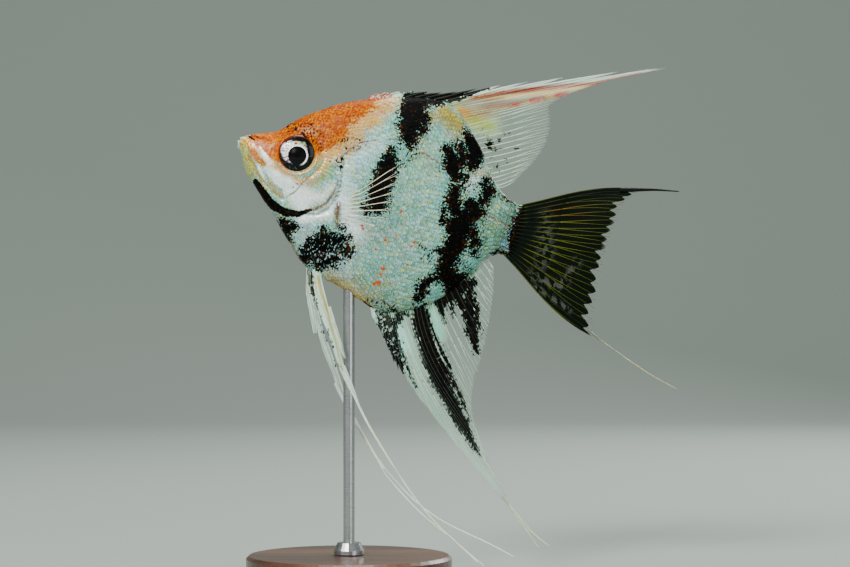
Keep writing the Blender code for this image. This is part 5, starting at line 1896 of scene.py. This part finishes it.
@dataclass(frozen=True)
class Streamer:
    """A long thin filament that trails from a fin."""

    node: str
    points: tuple[Triple, ...]
    radii: Pair
    tone: Colour = paint(232, 250, 240)
    slot: Slot = Slot.CLEAR_FIN
    milk: float = 0.5
    steps_per_span: int = 14
    sides: int = 10
    round_from: float = 0.96
    round_over: float = 0.045
    blunt: float = 0.05

    def build(self, material: Material) -> Object:
        """Builds the filament from inside its fin's tip to its own fine end.

        Args:
            material: the rays' finish.

        Returns:
            The object, which stands for the streamer's solid.
        """
        steps = self.steps_per_span * (len(self.points) - 1)
        share = np.linspace(0, 1, steps)
        path = curve_through(self.points, share)
        radii = self.radii[0] * (1 - share) + self.radii[1] * share
        past = np.maximum(share - self.round_from, 0) / self.round_over
        radii = radii * np.sqrt(np.maximum(1 - past ** 2, self.blunt))
        points, faces = tube(path, radii, self.sides)
        fan = np.repeat(np.stack((0 * share + 5.0, share * 2, 0 * share), -1), self.sides, axis=0)
        maker = MeshMaker(f"filament_{self.node.replace('_streamer', '')}")
        maker.add(points, faces, fan=fan, **FinColours(ray=self.tone, milk=self.milk).fields(points))
        made = maker.build(material, self.slot)
        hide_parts(self.node)
        return made


STREAMERS = (
    Streamer("pelvic_streamer_left_1", (
        (44.6, -4.3, -47.9), (46.9, -4.4, -50.4), (53.7, -4.8, -57.6), (59.2, -5, -62.6), (65.3, -5, -67.8),
    ), (0.34, 0.25)),
    Streamer("pelvic_streamer_left_2", (
        (64.3, -5, -66.9), (65.8, -5, -68.2), (72.1, -4.8, -73.1), (79.9, -4.6, -78.1), (86.9, -4.5, -81.4),
        (93.6, -4.5, -84.5),
    ), (0.25, 0.15)),
    Streamer("pelvic_streamer_right_1", (
        (43.6, 4.3, -51.8), (46.1, 4.4, -54.5), (52.4, 4.8, -60.6), (57.9, 5, -65.5), (62.9, 5, -69.7),
    ), (0.6, 0.24)),
    Streamer("pelvic_streamer_right_2", (
        (60.6, 5, -68), (63.4, 4.9, -70.6), (68.9, 4.6, -74), (75, 4.5, -77.3), (80.9, 4.4, -79.8),
        (86.6, 4.3, -81.9), (96, 4.2, -85.8),
    ), (0.25, 0.15)),
    Streamer("pelvic_streamer_right_3", (
        (61, 5.1, -67.8), (64.4, 5.3, -70.3), (72.1, 5.7, -74.6), (77.7, 5.9, -76.8), (84.3, 6, -78.4),
        (95.9, 6.2, -79.9), (102.8, 6.3, -81.2),
    ), (0.25, 0.15)),
    Streamer("anal_streamer_1", (
        (94.4, 0.35, -66.3), (96.5, 0.45, -67.9), (99.2, 0.6, -70), (103.5, 0.8, -73.1), (108, 1, -76.6),
    ), (0.24, 0.13), paint(190, 214, 180)),
    Streamer("anal_streamer_2", (
        (94.4, -0.35, -66.1), (96.5, -0.45, -67.7), (99.9, -0.6, -69.9), (104.6, -0.8, -72.8),
        (110.3, -1, -75),
    ), (0.24, 0.13), paint(190, 214, 180)),
    Streamer("tail_streamer_upper", (
        (99, 0, 19.6), (102.6, 0, 20.8), (105, 0, 21.6), (107.5, 0.1, 22.4), (110.6, 0.2, 23.2),
        (113.9, 0.4, 24),
    ), (0.66, 0.14), paint(2, 10, 3), Slot.DARK_FIN, 0),
    Streamer("tail_streamer_lower", (
        (102.4, 0, -17.9), (104.6, 0, -18.9), (109.8, -0.2, -20.7), (116.1, -0.6, -22.6),
        (122.4, -1.1, -24.3), (129.3, -1.8, -25.6),
    ), (0.28, 0.14), paint(128, 134, 108), Slot.CLEAR_FIN, 0.15),
)


# ---------------------------------------------------------------- stand and studio


@dataclass
class Stand:
    """The display stand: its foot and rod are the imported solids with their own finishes."""

    base: StandWood = StandWood()
    rod: StandSteel = StandSteel()

    def dress(self) -> None:
        """Gives each solid its finish."""
        for node, finish in (("stand_base", self.base), ("stand_rod", self.rod)):
            material = finish.build()
            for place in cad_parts[node].material_slots:
                place.material = material


# The soft lights: name, place in metres, side in metres, power in watts and colour.
LIGHTS = (
    ("key", (-0.55, -0.85, 0.80), 0.34, 23.0, (1.0, 0.985, 0.96)),
    ("fill", (0.75, -0.75, 0.30), 0.60, 3.2, (0.96, 0.985, 1.0)),
    ("top", (0.05, 0.10, 0.95), 0.50, 8.0, (1.0, 1.0, 1.0)),
    ("rim", (0.35, 0.55, 0.45), 0.40, 4.5, (1.0, 1.0, 1.0)),
)


@dataclass
class Studio:
    """The pale sweep, the soft lights and the camera."""

    camera_distance: float = 0.700
    camera_x: float = 0.01993
    camera_z: float = 0.07618
    light_aim_z: float = 0.09
    lens: float = 113.06
    sensor: float = 36.0
    sweep_front: float = -1.6
    sweep_back: float = 0.75
    sweep_radius: float = 0.45
    sweep_height: float = 2.2
    sweep_half_width: float = 2.5
    arc_steps: int = 24
    world: Colour = paint(222, 228, 226)
    world_strength: float = 0.34

    def sweep(self, material: Material) -> None:
        """A floor that curves up into the backdrop."""
        turn = np.linspace(0, math.pi / 2, self.arc_steps)
        back = self.sweep_back + self.sweep_radius * np.sin(turn)
        y = np.concatenate(([self.sweep_front], back, back[-1:]))
        z = np.concatenate(([0.0], self.sweep_radius * (1 - np.cos(turn)), [self.sweep_height]))
        line = np.stack((0 * y, y, z), -1)
        wide = np.array((self.sweep_half_width, 0, 0))
        points = np.stack((line - wide, line + wide), 1).reshape(-1, 3)
        mesh = bpy.data.meshes.new("sweep")
        mesh.from_pydata(points.tolist(), [], grid_faces(len(line), 2).tolist())
        mesh.shade_smooth()
        mesh.materials.append(material)
        floor = placed("sweep", mesh)
        floor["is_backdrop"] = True

    def light(self, name: str, place: Triple, size: float, watts: float,
              colour: Colour) -> None:
        """A square soft light that looks at the fish.

        Args:
            name: the light's name.
            place: where it stands, in metres.
            size: its side in metres.
            watts: its power.
            colour: its colour.
        """
        lamp = bpy.data.lights.new(name, "AREA")
        lamp.size = size
        lamp.energy = watts
        lamp.color = colour
        made = placed(name, lamp)
        made.location = place
        aim = Vector((self.camera_x, 0.0, self.light_aim_z)) - Vector(place)
        made.rotation_euler = aim.to_track_quat("-Z", "Y").to_euler()

    def camera(self) -> None:
        """The level camera, square to the fish's left side."""
        data = bpy.data.cameras.new("camera")
        data.lens = self.lens
        data.sensor_width = self.sensor
        data.clip_start = 0.01
        made = placed("camera", data)
        made.location = (self.camera_x, -self.camera_distance, self.camera_z)
        made.rotation_euler = (math.pi / 2, 0, 0)
        bpy.context.scene.camera = made

    def build(self) -> None:
        """Sets up everything round the model."""
        world = bpy.data.worlds.new("studio")
        world.use_nodes = True
        back = world.node_tree.nodes["Background"]
        back.inputs["Color"].default_value = (*self.world, 1.0)
        back.inputs["Strength"].default_value = self.world_strength
        bpy.context.scene.world = world
        self.sweep(Backdrop().build())
        for light in LIGHTS:
            self.light(*light)
        self.camera()


def main() -> None:
    """Builds the classes in order and reports each piece."""
    skin = FishSkin("skin_wet", scaled=False).build()
    plates = FishSkin("scale_gloss", scaled=True).build()
    pieces = [Skin().build(skin)]
    pieces += [Scales(side).build(plates) for side in Side]
    gloss = EyeBall().build()
    pieces += [Eye(side).build(gloss) for side in Side]
    web, rays = FinWeb("fin_web").build(), FinRay("fin_ray").build()
    for fin in fins():
        pieces += [fin.web(web), fin.ray_mesh(rays)]
    pieces += [piece.build(rays) for piece in (*PELVICS, *STREAMERS)]
    Stand().dress()
    Studio().build()
    for piece in pieces:
        LOG.info("%s: %d faces", piece.name, len(piece.data.polygons))
    [[list(map(float, corner)) for corner in box] for box in (CAD_BOX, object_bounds())]


if __name__ == "__main__":
    logging.basicConfig(level=logging.INFO, format="%(name)s %(message)s")
    main()
